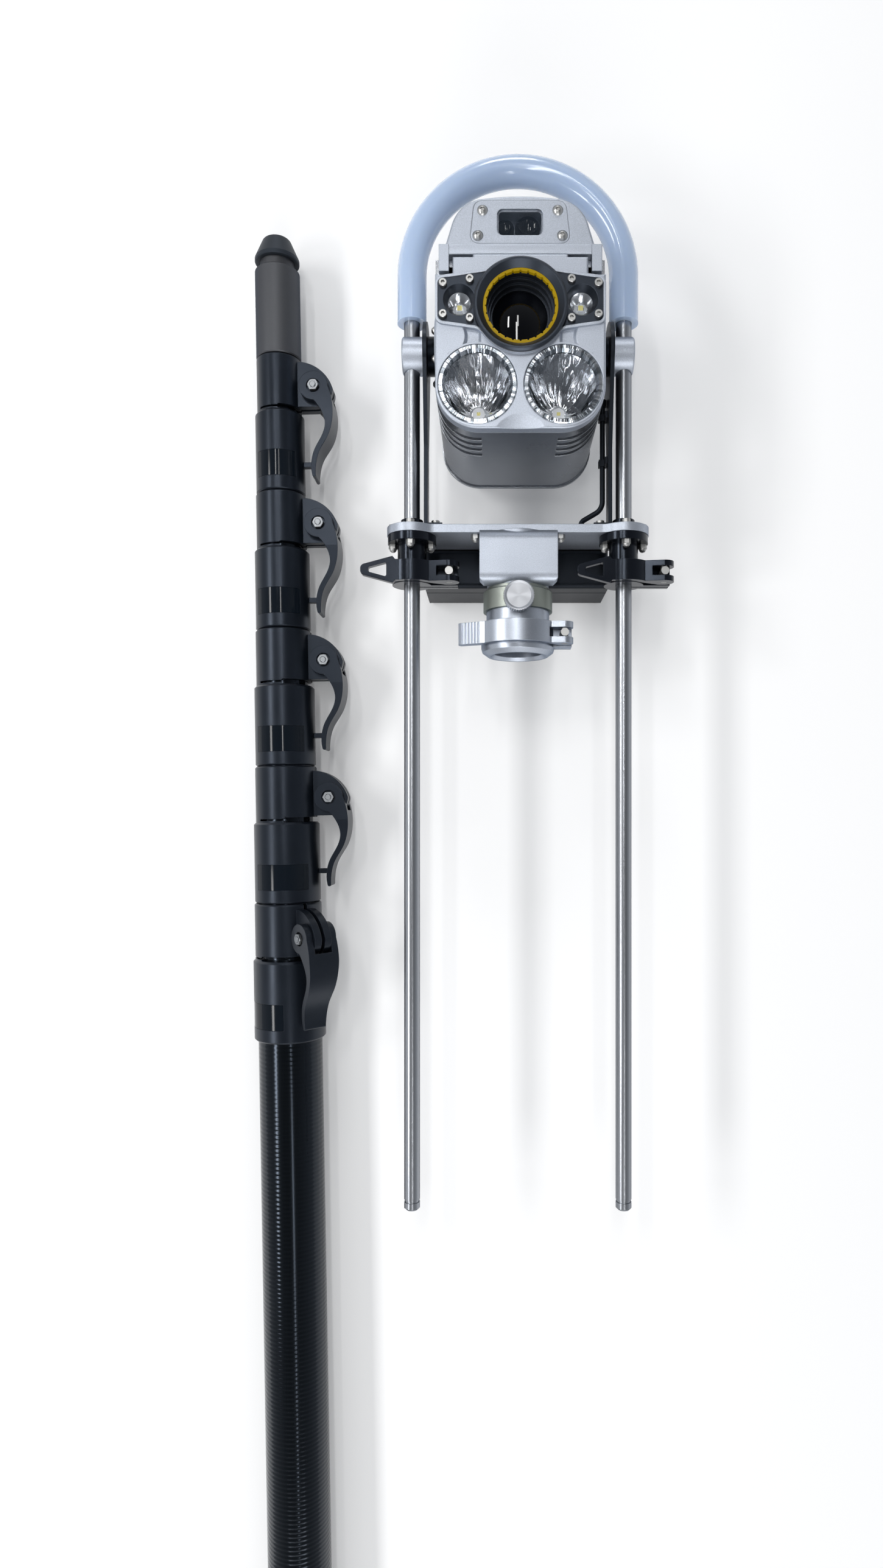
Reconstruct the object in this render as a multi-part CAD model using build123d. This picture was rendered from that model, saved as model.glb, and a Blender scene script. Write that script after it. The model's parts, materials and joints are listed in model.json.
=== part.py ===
from build123d import *
import math
import os

os.makedirs("parts", exist_ok=True)

# A pole inspection camera lying face up beside its collapsed telescopic pole.
# Millimetres, +Z up off the floor. While it is drawn, X = 0 is the head's plane of
# symmetry, Y = 0 is the tilt axis and Z = 0 is the floor. The finished layout is then
# moved so that the middle of its own box stands at the origin.

# Clearances
RUN_CLEAR = 0.05
SLIDE_CLEAR = 0.1
SEAT_CLEAR = 0.1
MOVE_GAP = 0.3
THROUGH = 100.0

# Camera head
TILT_Z = 90.0
HEAD_W = 118.0
HEAD_BOTTOM = 83.5
HEAD_TOP = 37.0
HEAD_CORNER_R = 30.0
HEAD_WALL = 5.0
FACE_AHEAD = 70.0
FRONT_PLATE_T = 8.0
RIM_Z = 46.0
RIM_CHAMFER = 1.0
GROOVE_COUNT = 4
GROOVE_PITCH = 9.5
GROOVE_W = 5.0
GROOVE_D = 2.5
GROOVE_FIRST = 17.0
GROOVE_END_X = 27.0
GROOVE_TOP = -22.0
COVER_PROUD = 1.0
COVER_BAND = 3.0
COVER_TAPER = 19.0
COVER_EDGE_R = 8.0
FACE_EDGE_R = 1.5

# Relief of the front plate
LIP_W = 1.8
LIP_H = 1.6
PAD_X = 50.0
PAD_DROP = 20.0
PAD_R = 11.5
VALLEY_IN = 29.0
VALLEY_D = 2.0
VALLEY_SLOPE = 45.0
SPOT_RIM = 1.6
CHIN_TOP = 73.5
CHIN_R = 20.0
CHIN_D = 2.0
SEAM_IN = 33.0
SEAM_W = 2.0

# Range finder
FINDER_W = 112.0
FINDER_TOP_W = 87.0
FINDER_TOP = 83.5
FINDER_CROWN = 4.5
FINDER_CORNER_R = 25.0
FINDER_BACK = 86.0
FINDER_BEHIND = 10.0
FINDER_LID_Y = 50.0
FINDER_LID_H = 30.0
FINDER_LID_W = 71.0
FINDER_LID_TOP_W = 64.0
FINDER_LID_T = 3.0
FINDER_LID_R = 6.0
FINDER_POCKET_D = 14.0
FINDER_POCKET_EDGE = 4.0
WINDOW_W = 32.0
WINDOW_H = 18.5
WINDOW_R = 4.0
WINDOW_T = 1.6
WINDOW_LIP = 1.0
EYE_R = (9.0, 6.5)
EYE_X = (5.5, -10.5)
EYE_H = 9.0
EYE_DISH = 1.25
EAR_W = 7.0
EAR_OUT = 56.5
EAR_LOW = 25.5
EAR_GAP = 2.5
EAR_PROUD = 1.0

# Lens, bezel and small lamps
BEZEL_W = 114.0
BEZEL_END_H = 28.6
BEZEL_ROOT_H = 45.0
BEZEL_T = 5.3
BEZEL_SINK = 4.3
BEZEL_END_R = 4.0
BEZEL_BLEND_R = 12.0
WING_LIFT = 4.5
LENS_BASE_R = 30.5
LENS_RING_WALL = 4.5
LENS_RING_FLARE = 2.1
LENS_RING_H = 5.0
LENS_RING_EDGE = 1.4
LENS_FACE_W = 4.0
SEAL_W = 2.2
SEAL_T = 2.6
SEAL_DROP = 4.0
SEAL_NOTCHES = 28
SEAL_NOTCH_R = 0.8
BARREL_STEPS = 4
BARREL_STEP_H = 4.5
BARREL_STEP_IN = 1.4
BARREL_WALL = 2.2
BARREL_BACK = 52.0
GLASS_T = 3.0
GLASS_CROWN = 4.0
CORE_W = 50.0
CORE_H = 54.0
CORE_L = 50.0
CORE_EDGE = 3.0
SMALL_LAMP_X = 42.4
SMALL_RECESS_R = 11.0
SMALL_LAMP_R = 7.75
SMALL_LAMP_D = 7.0
SMALL_CUP_WALL = 1.2

# Spot lamps
SPOT_EDGE = 1.8
SPOT_DROP = 53.1
SPOT_R = 27.5
SPOT_MOUTH_R = 23.5
SPOT_LIP = 0.6
SPOT_LIP_SLOPE = 1.6
SPOT_RING_EDGE = 0.8
SPOT_DEPTH = 45.0
SPOT_BOWL_WALL = 1.2
SPOT_WINDOW_T = 2.5
SPOT_WINDOW_DROP = 2.4
LED_R = 4.6
LED_EDGE = 0.4
LED_H = 1.2
CHIP_SIDE = 2.6
CHIP_H = 0.5
SMALL_LED_SIDE = 3.4
SMALL_LED_H = 1.6
BOWL_POINTS = 6

# Head fasteners: places beside and above a middle, and head radius, height and key
BEZEL_SCREWS = ((53.5, 10.7), (35.0, 13.4))
LID_SCREWS = ((29.6, 5.5), (26.4, 23.2))
M3_HEAD = (2.75, 3.0, 2.5)
M4_HEAD = (3.8, 2.2, 2.5)
HUB_HEAD = (2.75, 2.6, 2.0)
HEAD_EDGE = 0.12
KEY_FLOOR = 0.45

# Pivot hubs and tilt drive
HUB_FLANGE_R = 26.5
HUB_FLANGE_T = 3.5
HUB_SHOULDER_R = 14.0
HUB_SHAFT_R = 8.0
HUB_GAP = 9.5
HUB_SCREW_R = 21.0
HUB_SCREW_COUNT = 6
HUB_SCREW_TURN = 30.0
HUB_EDGE = 0.8
MOTOR_R = 11.0
MOTOR_L = 24.0
MOTOR_EDGE = 1.0

# Yoke arms, guides and cross plate
ARM_T = 3.0
ARM_HEAD_R = 24.0
ARM_STRIP_W = 14.0
ARM_BLEND_R = 20.0
ARM_NECK = 72.0
FOOT_L = 11.0
GUIDE_WALL = 7.75
GUIDE_END = 1.0
ROD_GAP = 3.5
GUIDE_CHAMFER = 1.0
PLATE_DROP = 132.0
PLATE_T = 6.2
PLATE_BLEND_R = 10.0
PLATE_RIM = 0.5
PLATE_FRONT = 13.0
PLATE_BACK_Z = 4.0
PLATE_ARM_BACK = 14.0
PLATE_IN = 13.0
BOX_W = 147.0
BOX_H = 31.0
BOX_GAP = 8.5
BOX_EDGE_R = 4.0
BOX_SEAM_Z = 40.0
BOX_SEAM = 1.2
BLOCK_SIDE_WALL = 10.5
BLOCK_H = 40.2
BLOCK_FRONT_WALL = 7.5
BLOCK_DEPTH = 14.0
BLOCK_CUT = 3.0
BLOCK_TOP_R = 9.0
BLOCK_LOW_R = 7.0

# Rod clamps
BUSH_WALL = 2.5
BUSH_H = 6.0
FLANGE_RIM = 12.5
FLANGE_T = 6.0
NECK_WALL = 5.0
NECK_L = 15.5
CLAMP_WALL = 9.0
CLAMP_H = 16.0
NUT_INSET = 4.0
NUT_R = 3.4
NUT_H = 3.2
NUT_DOME = 0.82
FLANGE_BOLTS = 4
SCREW_HEAD_R = 3.2
SCREW_HEAD_H = 3.0
CLAMP_PIN_OUT = 14.0
CLAMP_PIN_Z = 10.0
CLAMP_HUB_R = 7.5
CLAMP_BAND_T = 5.6
CLAMP_BAND_ANGLES = (48.0, 115.0)
HANDLE_END = 37.0
HANDLE_H = 20.0
HANDLE_TIP_H = 7.0
HANDLE_T = 5.0
HANDLE_ROOT = 13.0
HANDLE_WALL = 4.6
HANDLE_TIP_WALL = 6.0
HANDLE_START = 5.0
HANDLE_RISE = 0.7
HANDLE_STEP = 2.0
LOOP_CORNER_R = 1.2
PIN_R = 2.5
DRAW_BOLT_R = 3.0
LEVER_SLOT_H = 7.2
LEVER_SLOT_L = 9.5
EAR_SPLIT = 2.0
EAR_T = 4.5
EAR_END = 3.0
DRAW_NUT_R = 5.0
DRAW_NUT_H = 4.0
DRAW_BOLT_SINK = 1.0

# Pole socket
POLE_CLEAR = 0.25
SPIGOT_WALL = 3.0
SPIGOT_RIM = 2.0
SPIGOT_H = 2.3
COLLAR_WALL = 4.8
COLLAR_LEN = 15.2
SWIVEL_EDGE = 0.8
SOCKET_NECK_WALL = 5.5
SOCKET_NECK_H = 9.3
SOCKET_WALL = 9.5
SOCKET_H = 18.5
MOUTH_WALL = 4.5
FUNNEL_H = 6.0
FUNNEL_BELLY = 1.6
MOUTH_CHAMFER = 2.5
BORE_TOP = 4.0
SOCKET_PIN_OUT = 6.5
SOCKET_LEVER_TRIM = 1.2
SOCKET_PIN_Z = 16.0
SOCKET_SLOT_L = 11.5
SOCKET_HUB_R = 6.6
SOCKET_BAND_T = 4.6
SOCKET_BAND_ANGLES = (42.0, 148.0)
THUMB_OUT = 17.0
THUMB_ROOT = 8.0
THUMB_RISE = 6.0
THUMB_DROP = 4.0
THUMB_T = 8.0
THUMB_EDGE = 2.0
THUMB_RIBS = 6
THUMB_RIB_R = 0.8
THUMB_RIB_PITCH = 2.4
THUMB_RIB_FIRST = 3.0
THUMB_RIB_LIFT = 0.2
KNOB_R = 11.4
KNOB_H = 8.0
KNOB_STEM_R = 4.0
KNOB_TEETH = 40
KNOB_TOOTH = 0.5
KNOB_DISH = 1.2
KNOB_EDGE = 1.0
KNOB_RIM = 2.0
KNOB_BACKED = 1.6

# Leg frame
ROD_R = 6.0
BOW_Y = 61.0
LEG_END = 653.0
LEG_GROOVE_Y = 7.0
LEG_GROOVE_W = 2.0
LEG_GROOVE_D = 0.6
LEG_CHAMFER = 1.5
SLEEVE_WALL = 5.2
SLEEVE_END = 25.0

# Head cable
CABLE_R = 2.0
CABLE_Z = 84.0
CABLE_TOP = 36.0
CABLE_BEND_Y = 115.0
CABLE_FOOT_X = 50.0
CABLE_FOOT_Z = 72.0
CABLE_FOOT_RISE = 6.0
CABLE_BEND_R = 8.0
GLAND_R = 3.6
GLAND_H = 5.0
CLIP_PLACES = (45.0, 80.0)
CLIP_W = 5.0
CLIP_REACH = 9.0
CLIP_WALL = 1.0

# Telescopic pole
POLE_X = -197.3
POLE_TOP = 26.0
POLE_YAW = 1.0
SECTIONS = 6
MAIN_OD = 52.0
TUBE_STEP = 4.5
TUBE_WALL = 1.4
MAIN_END = 1372.0
INNER_END = 1332.0
END_STAGGER = 6.0
GUIDE_L = 25.0
FOOT_EDGE_R = 2.0
FOOT_T = 6.0
FOOT_GRIP = 40.0

# Pole collars
COLLAR_PITCH = 112.5
COLLAR_H = 112.0
BARREL_WALL_T = 3.0
RING_STEP = 1.75
RING_H = 42.0
SLOT_H = 4.0
SLOT_START = 0.1
SLIT_H = 1.6
SLIT_START = -0.7
TUBE_SEAT = 3.0
COLLAR_EDGE = 1.2
LABEL_TOP = 80.0
LABEL_H = 21.0
LABEL_ARC = 100.0
LABEL_D = 0.4
BOLT_OUT = 12.2
BOLT_DROP = 26.0
BOLT_R = 2.5
BOLT_HEX = 8.0
BOLT_HEX_H = 4.0
BOLT_END = 1.0
LOBE_R = 15.0
LUG_TOP = 4.0
LUG_T = 6.0
LUG_SPLIT = 3.0
LUG_SHOULDER = 2.0
LUG_BROW = (0.85, 1.05)
CHEEK_T = 5.7
LEVER_HUB_R = 11.75
FORK_R = 18.5
LEVER_TIP_W = 19.0
LEVER_TIP = 72.0
LEVER_TIP_T = 3.0
LEVER_TIP_OUT = 0.4
LEVER_TIP_ROUND = 1.4
LEVER_SAG = 3.0
LEVER_OUTER = ((15.5, -16.0), (15.2, -27.0), (11.0, -41.0), (3.6, -53.5), (0.8, -64.0))
LEVER_INNER = ((-LEVER_SAG, -61.5), (-0.4, -52.0), (6.4, -40.0), (9.0, -31.0), (6.6, -21.0))
HEX_SINK = 2.5
HEX_CLEAR = 1.6
CATCH_DROP = 61.0
CATCH_H = 4.0
CATCH_W = 5.0
LAST_COLLAR_TURN = 48.0

# Pole head
ADAPTER_WALL = 3.5
ADAPTER_L = 73.0
ADAPTER_SEAT = 58.0
ADAPTER_GAP = 0.4
ADAPTER_EDGE = 1.0
TIP_NECK_IN = 4.25
TIP_NECK_H = 7.6
TIP_LIP_H = 3.0
TIP_DRAW_IN = 7.25
TIP_H = 19.5
TIP_ROUND = 4.0
TIP_EDGE = 0.8

# Values worked out from the driving sizes
FACE_Z = TILT_Z + FACE_AHEAD
SEAT_Z = FACE_Z - FRONT_PLATE_T
FINDER_Z = FACE_Z - FINDER_BEHIND
HUB_OUT = HEAD_W / 2 + HUB_FLANGE_T
ARM_IN = HEAD_W / 2 + HUB_GAP
ARM_OUT = ARM_IN + ARM_T
ROD_X = ARM_OUT + ROD_GAP + ROD_R
GUIDE_R = ROD_R + GUIDE_WALL
BUSH_R = ROD_R + BUSH_WALL
NECK_R = ROD_R + NECK_WALL
CLAMP_R = ROD_R + CLAMP_WALL
FLANGE_R = ROD_R + FLANGE_RIM
SLEEVE_R = ROD_R + SLEEVE_WALL
PLATE_LOBE_R = FLANGE_R + PLATE_RIM
NUT_CIRCLE_R = FLANGE_R - NUT_INSET
CLAMP_PIN_X = CLAMP_R + CLAMP_PIN_OUT
TIP_TUBE_OD = MAIN_OD - TUBE_STEP * (SECTIONS - 1)
ADAPTER_R = TIP_TUBE_OD / 2 + ADAPTER_WALL
TIP_NECK_R = ADAPTER_R - TIP_NECK_IN
TIP_TOP_R = ADAPTER_R - TIP_DRAW_IN
SOCKET_BORE_R = ADAPTER_R + POLE_CLEAR
SPIGOT_NECK_R = SOCKET_BORE_R + SPIGOT_WALL
SPIGOT_R = SPIGOT_NECK_R + SPIGOT_RIM
COLLAR_R = SPIGOT_NECK_R + COLLAR_WALL
SOCKET_NECK_R = SOCKET_BORE_R + SOCKET_NECK_WALL
SOCKET_R = SOCKET_BORE_R + SOCKET_WALL
MOUTH_R = SOCKET_BORE_R + MOUTH_WALL
SOCKET_PIN_X = SOCKET_R + SOCKET_PIN_OUT
THUMB_END = SOCKET_R + THUMB_OUT
BLOCK_W = 2 * (SOCKET_BORE_R + BLOCK_SIDE_WALL)
BLOCK_FRONT = SOCKET_BORE_R + BLOCK_FRONT_WALL
BOX_DEPTH = TILT_Z - SPIGOT_R - BOX_GAP
SPOT_X = HEAD_W / 2 - SPOT_EDGE - SPOT_R
BEZEL_TOP_Z = FACE_Z - BEZEL_SINK + BEZEL_T
LENS_BORE_R = LENS_BASE_R - LENS_RING_WALL
LENS_RING_R = LENS_BASE_R + LENS_RING_FLARE
LENS_TOP_Z = BEZEL_TOP_Z + LENS_RING_H
SEAL_Z = LENS_TOP_Z - SEAL_DROP - SEAL_T
BARREL_R = LENS_BORE_R - SEAT_CLEAR
BARREL_END_Z = SEAL_Z - BARREL_BACK
PLATE_TOP = -PLATE_DROP
PLATE_LOW = PLATE_TOP - PLATE_T
FLANGE_LOW = PLATE_LOW - FLANGE_T
CLAMP_TOP = FLANGE_LOW - NECK_L
CLAMP_LOW = CLAMP_TOP - CLAMP_H
CLAMP_MID = (CLAMP_TOP + CLAMP_LOW) / 2
BLOCK_LOW = PLATE_LOW - BLOCK_H
SPIGOT_LOW = BLOCK_LOW - SPIGOT_H
COLLAR_TOP = SPIGOT_LOW - MOVE_GAP
COLLAR_LOW = COLLAR_TOP - COLLAR_LEN
SOCKET_TOP = COLLAR_LOW - SOCKET_NECK_H
SOCKET_LOW = SOCKET_TOP - SOCKET_H
SOCKET_MID = (SOCKET_TOP + SOCKET_LOW) / 2
MOUTH_Y = SOCKET_LOW - FUNNEL_H
KNOB_Y = BLOCK_LOW - KNOB_R - MOVE_GAP
KNOB_BACK = TILT_Z + COLLAR_R + MOVE_GAP
LUG_HALF = LUG_SPLIT / 2 + LUG_T
LEVER_HALF = LUG_HALF + MOVE_GAP + CHEEK_T


def bar_x(radius, x0, x1, y=0.0, z=0.0):
    """Round bar along X."""
    return Pos((x0 + x1) / 2, y, z) * Rot(0, 90, 0) * Cylinder(radius, abs(x1 - x0))


def bar_y(radius, y0, y1, x=0.0, z=0.0):
    """Round bar along Y."""
    return Pos(x, (y0 + y1) / 2, z) * Rot(90, 0, 0) * Cylinder(radius, abs(y1 - y0))


def bar_z(radius, z0, z1, x=0.0, y=0.0):
    """Round bar along Z."""
    return Pos(x, y, (z0 + z1) / 2) * Cylinder(radius, abs(z1 - z0))


def block(x, y, z):
    """Box between three pairs of limits."""
    middle = Pos((x[0] + x[1]) / 2, (y[0] + y[1]) / 2, (z[0] + z[1]) / 2)
    return middle * Box(abs(x[1] - x[0]), abs(y[1] - y[0]), abs(z[1] - z[0]))


def outline(*points):
    """Flat face inside straight sides."""
    return make_face(Polyline(*points, close=True))


def front_prism(face, z0, z1):
    """A front view, drawn on X and Y, given depth along Z."""
    return extrude(Pos(0, 0, z0) * face, amount=z1 - z0)


def plan_prism(face, y_top, height):
    """A plan, drawn on X and Z, given height down from y_top."""
    return extrude(Plane.XZ.offset(-y_top) * face, amount=height)


def side_prism(face, x0, x1):
    """A side view, drawn on Y and Z, given width along X."""
    return extrude(Plane.YZ.offset(x0) * face, amount=x1 - x0)


def turned_y(points):
    """Turned piece about the Y axis from radius and Y pairs."""
    return revolve(outline(*points), Axis.Y)


def turned_z(points):
    """Turned piece about the Z axis from radius and Z pairs."""
    return revolve(Plane.XZ * outline(*points), Axis.Z)


def both_sides(piece):
    """The piece and its mirror image across the plane of symmetry."""
    return [piece, mirror(piece, Plane.YZ)]


def hex_prism_z(across, z0, z1):
    """Hexagon bar along Z, measured across its flats."""
    face = RegularPolygon(across / 2, 6, major_radius=False)
    return extrude(Pos(0, 0, z0) * face, amount=z1 - z0)


# Camera head

def head_outline(inset, top):
    """Front view of the head: flat top, large round lower corners."""
    half = HEAD_W / 2 - inset
    low = inset - HEAD_BOTTOM
    face = outline((-half, top), (-half, low), (half, low), (half, top))
    return fillet(face.vertices().group_by(Axis.Y)[0], HEAD_CORNER_R - inset)


def cooling_grooves():
    """Grooves round the two lower corners, one behind the other."""
    grooves = []
    for row in range(GROOVE_COUNT):
        front = FACE_Z - GROOVE_FIRST - row * GROOVE_PITCH
        band = front_prism(head_outline(-1.0, HEAD_TOP) - head_outline(GROOVE_D, HEAD_TOP),
                           front - GROOVE_W, front)
        corner = block((GROOVE_END_X, HEAD_W), (-HEAD_W, GROOVE_TOP), (0, 2 * FACE_Z))
        grooves += both_sides(band & corner)
    return grooves


def heat_sink_body():
    body = front_prism(head_outline(0, HEAD_TOP), RIM_Z, SEAT_Z)
    body = chamfer(body.faces().sort_by(Axis.Z)[0].edges(), RIM_CHAMFER)
    body -= front_prism(head_outline(HEAD_WALL, HEAD_TOP - HEAD_WALL), RIM_Z, SEAT_Z)
    return body - cooling_grooves()


def plate_outline():
    """Front plate with its two top corners notched for the range finder's ears."""
    notch_x = EAR_OUT - EAR_W - EAR_GAP
    notch = block((notch_x, HEAD_W), (EAR_LOW - EAR_GAP, 2 * HEAD_TOP), (-1, 1))
    notch += block((SEAM_IN, HEAD_W), (HEAD_TOP - SEAM_W, 2 * HEAD_TOP), (-1, 1))
    face = head_outline(0, HEAD_TOP)
    return face - both_sides(notch)


def bezel_outline(grow):
    """Foot of the lens ring with two wings that narrow to their ends and sit above the lens."""
    half = BEZEL_W / 2 + grow
    end = BEZEL_END_H / 2 + grow
    root = BEZEL_ROOT_H / 2 + grow
    wings = outline((-half, -end), (0, -root), (half, -end), (half, end), (0, root), (-half, end))
    ends = wings.vertices().group_by(Axis.X)
    wings = Pos(0, WING_LIFT) * fillet(ends[0] + ends[-1], BEZEL_END_R + grow)
    face = wings + Circle(LENS_BASE_R + grow)
    waist = [v for v in face.vertices() if abs(math.hypot(v.X, v.Y) - LENS_BASE_R - grow) < 0.01]
    return fillet(waist, BEZEL_BLEND_R - grow)


def spot_places():
    return [Pos(side * SPOT_X, -SPOT_DROP, 0) for side in (-1, 1)]


def small_lamp_places():
    return [Pos(side * SMALL_LAMP_X, WING_LIFT, 0) for side in (-1, 1)]


def plate_valley():
    """Hollow of the front plate between a wing, a spot lamp and the flat pad beside them."""
    floor = FACE_Z - VALLEY_D
    base = outline((VALLEY_IN, 0), (VALLEY_IN, -SPOT_DROP), (PAD_X, -SPOT_DROP), (PAD_X, 0))
    hollow = extrude(Pos(0, 0, floor) * base, amount=VALLEY_D + 1, taper=-VALLEY_SLOPE)
    pad = Cone(PAD_R + VALLEY_D, PAD_R - 1, VALLEY_D + 1)
    hollow -= Pos(PAD_X, -PAD_DROP, floor + (VALLEY_D + 1) / 2) * pad
    hollow -= block((PAD_X, HEAD_W), (-HEAD_W, HEAD_W), (0, 2 * FACE_Z))
    return hollow - spot_places()[1] * bar_z(SPOT_R + SPOT_RIM, 0, 2 * FACE_Z)


def chin_dish():
    """Shallow dish between the spot lamps that runs out through the plate's lower edge."""
    radius = (CHIN_R ** 2 + CHIN_D ** 2) / (2 * CHIN_D)
    return Pos(0, -CHIN_TOP - CHIN_R, FACE_Z + radius - CHIN_D) * Sphere(radius)


def front_plate():
    """Plate with a raised lip round the bezel's pocket, hollows beside it and openings."""
    plate = front_prism(plate_outline(), SEAT_Z, FACE_Z)
    plate = fillet(plate.faces().sort_by(Axis.Z)[-1].edges(), FACE_EDGE_R)
    plate -= both_sides(plate_valley())
    plate -= chin_dish()
    pocket = FACE_Z - BEZEL_SINK
    plate += front_prism(bezel_outline(LIP_W), pocket, FACE_Z + LIP_H)
    plate -= front_prism(bezel_outline(SEAT_CLEAR), pocket, FACE_Z + LIP_H + 1)
    plate -= bar_z(BARREL_R + SEAT_CLEAR, 0, 2 * FACE_Z)
    for place in spot_places():
        plate -= place * bar_z(SPOT_R + SEAT_CLEAR, 0, 2 * FACE_Z)
    for place in small_lamp_places():
        cup = SMALL_LAMP_R + SMALL_CUP_WALL + SEAT_CLEAR
        plate -= place * bar_z(cup, 0, 2 * FACE_Z)
    return plate


def rear_cover():
    """Cover with a narrow rim, proud of the heat sink, that draws in to a flat back."""
    low = RIM_Z - COVER_BAND
    cover = extrude(Pos(0, 0, low) * head_outline(0, HEAD_TOP), amount=low, dir=(0, 0, -1), taper=COVER_TAPER)
    cover = fillet(cover.faces().sort_by(Axis.Z)[0].edges(), COVER_EDGE_R)
    cover += front_prism(head_outline(-COVER_PROUD, HEAD_TOP), low, RIM_Z)
    hollow = Pos(0, 0, RIM_Z) * head_outline(HEAD_WALL, HEAD_TOP - HEAD_WALL)
    return cover - extrude(hollow, amount=RIM_Z - HEAD_WALL, dir=(0, 0, -1), taper=COVER_TAPER)


# Range finder

def finder_outline():
    """Front view of the range finder: sides lean in to a crowned top."""
    low = FINDER_W / 2
    top = FINDER_TOP_W / 2
    side = FINDER_TOP - FINDER_CROWN
    lines = Polyline((-top, side), (-low, HEAD_TOP), (low, HEAD_TOP), (top, side))
    crown = ThreePointArc((top, side), (0, FINDER_TOP), (-top, side))
    face = make_face([lines, crown])
    upper = [v for v in face.vertices() if v.Y > HEAD_TOP + 1]
    return fillet(upper, FINDER_CORNER_R)


def lid_outline(grow):
    low = FINDER_LID_W / 2 + grow
    top = FINDER_LID_TOP_W / 2 + grow
    y0 = FINDER_LID_Y - grow
    y1 = FINDER_LID_Y + FINDER_LID_H + grow
    face = outline((-low, y0), (low, y0), (top, y1), (-top, y1))
    return fillet(face.vertices(), FINDER_LID_R)


def window_place():
    return Pos(0, FINDER_LID_Y + FINDER_LID_H / 2, 0)


def finder_housing():
    housing = front_prism(finder_outline(), FINDER_Z - FINDER_BACK, FINDER_Z)
    housing = fillet(housing.faces().sort_by(Axis.Z)[-1].edges().sort_by(Axis.Y)[1:], FACE_EDGE_R)
    reach = FACE_Z - EAR_PROUD
    for side in (-1, 1):
        across = (side * (EAR_OUT - EAR_W), side * EAR_OUT)
        housing += block(across, (HEAD_TOP, HEAD_TOP + EAR_W), (SEAT_Z - 2 * EAR_W, reach))
        housing += block(across, (EAR_LOW, HEAD_TOP), (SEAT_Z, reach))
    housing -= front_prism(lid_outline(SEAT_CLEAR), FINDER_Z - FINDER_LID_T, FINDER_Z + 1)
    pocket = RectangleRounded(WINDOW_W + FINDER_POCKET_EDGE, WINDOW_H + FINDER_POCKET_EDGE, WINDOW_R)
    floor = FINDER_Z - FINDER_LID_T - FINDER_POCKET_D
    housing -= front_prism(window_place() * pocket, floor, FINDER_Z)
    half = FINDER_TOP_W / 2 - HEAD_WALL
    roof = FINDER_TOP - FINDER_CROWN - FINDER_CORNER_R / 2
    back = FINDER_Z - FINDER_BACK + HEAD_WALL
    return housing - block((-half, half), (HEAD_TOP, roof), (back, floor - HEAD_WALL))


def finder_lid():
    lid = front_prism(lid_outline(0), FINDER_Z - FINDER_LID_T, FINDER_Z)
    seat = RectangleRounded(WINDOW_W, WINDOW_H, WINDOW_R)
    hole = RectangleRounded(WINDOW_W - 2 * WINDOW_LIP, WINDOW_H - 2 * WINDOW_LIP, WINDOW_R - WINDOW_LIP)
    ledge = FINDER_Z - WINDOW_T - SEAT_CLEAR
    lid -= front_prism(window_place() * seat, ledge, FINDER_Z + 1)
    return lid - front_prism(window_place() * hole, 0, FINDER_Z + 1)


def finder_window():
    trim = 2 * SEAT_CLEAR
    pane = RectangleRounded(WINDOW_W - trim, WINDOW_H - trim, WINDOW_R - SEAT_CLEAR)
    top = FINDER_Z - SEAT_CLEAR
    return front_prism(window_place() * pane, top - WINDOW_T, top)


def finder_lenses():
    """Sender and receiver tubes that stand on the floor of the pocket."""
    floor = FINDER_Z - FINDER_LID_T - FINDER_POCKET_D
    lenses = []
    for radius, x in zip(EYE_R, EYE_X):
        tube = bar_z(radius, floor, floor + EYE_H)
        dish = Pos(0, 0, floor + EYE_H + radius) * Sphere(radius * EYE_DISH)
        lenses.append(window_place() * Pos(x, 0, 0) * (tube - dish))
    return lenses


# Lens and bezel

def lens_bezel():
    """Bezel with wings, and a ring that flares out to its rim and in to the lens."""
    bezel = front_prism(bezel_outline(0), FACE_Z - BEZEL_SINK, BEZEL_TOP_Z)
    flare_z = FACE_Z + LIP_H + MOVE_GAP
    rim = LENS_RING_R - LENS_RING_EDGE
    bezel += turned_z([(0, BEZEL_TOP_Z), (LENS_BASE_R, BEZEL_TOP_Z), (LENS_BASE_R, flare_z),
                       (LENS_RING_R, LENS_TOP_Z - LENS_RING_EDGE), (rim, LENS_TOP_Z), (0, LENS_TOP_Z)])
    mouth = LENS_BORE_R + LENS_FACE_W
    bezel -= turned_z([(0, 0), (LENS_BORE_R, 0), (LENS_BORE_R, LENS_TOP_Z - SEAL_DROP),
                       (mouth, LENS_TOP_Z), (mouth, LENS_TOP_Z + 1), (0, LENS_TOP_Z + 1)])
    depth = BEZEL_T
    for place in small_lamp_places():
        flare = Cone(SMALL_LAMP_R, SMALL_RECESS_R, depth)
        bezel -= place * Pos(0, 0, BEZEL_TOP_Z - depth / 2) * flare
    return bezel


def seal_ring():
    outer = LENS_BORE_R - SEAT_CLEAR
    inner = outer - SEAL_W
    ring = bar_z(outer, SEAL_Z, SEAL_Z + SEAL_T) - bar_z(inner, 0, 2 * FACE_Z)
    notches = PolarLocations(inner, SEAL_NOTCHES) * Cylinder(SEAL_NOTCH_R, 4 * FACE_Z)
    return ring - notches


def barrel_step(step):
    """Bore radius and floor of each step down into the lens."""
    radius = BARREL_R - SEAL_W - step * BARREL_STEP_IN
    return radius, SEAL_Z - (step + 1) * BARREL_STEP_H


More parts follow.
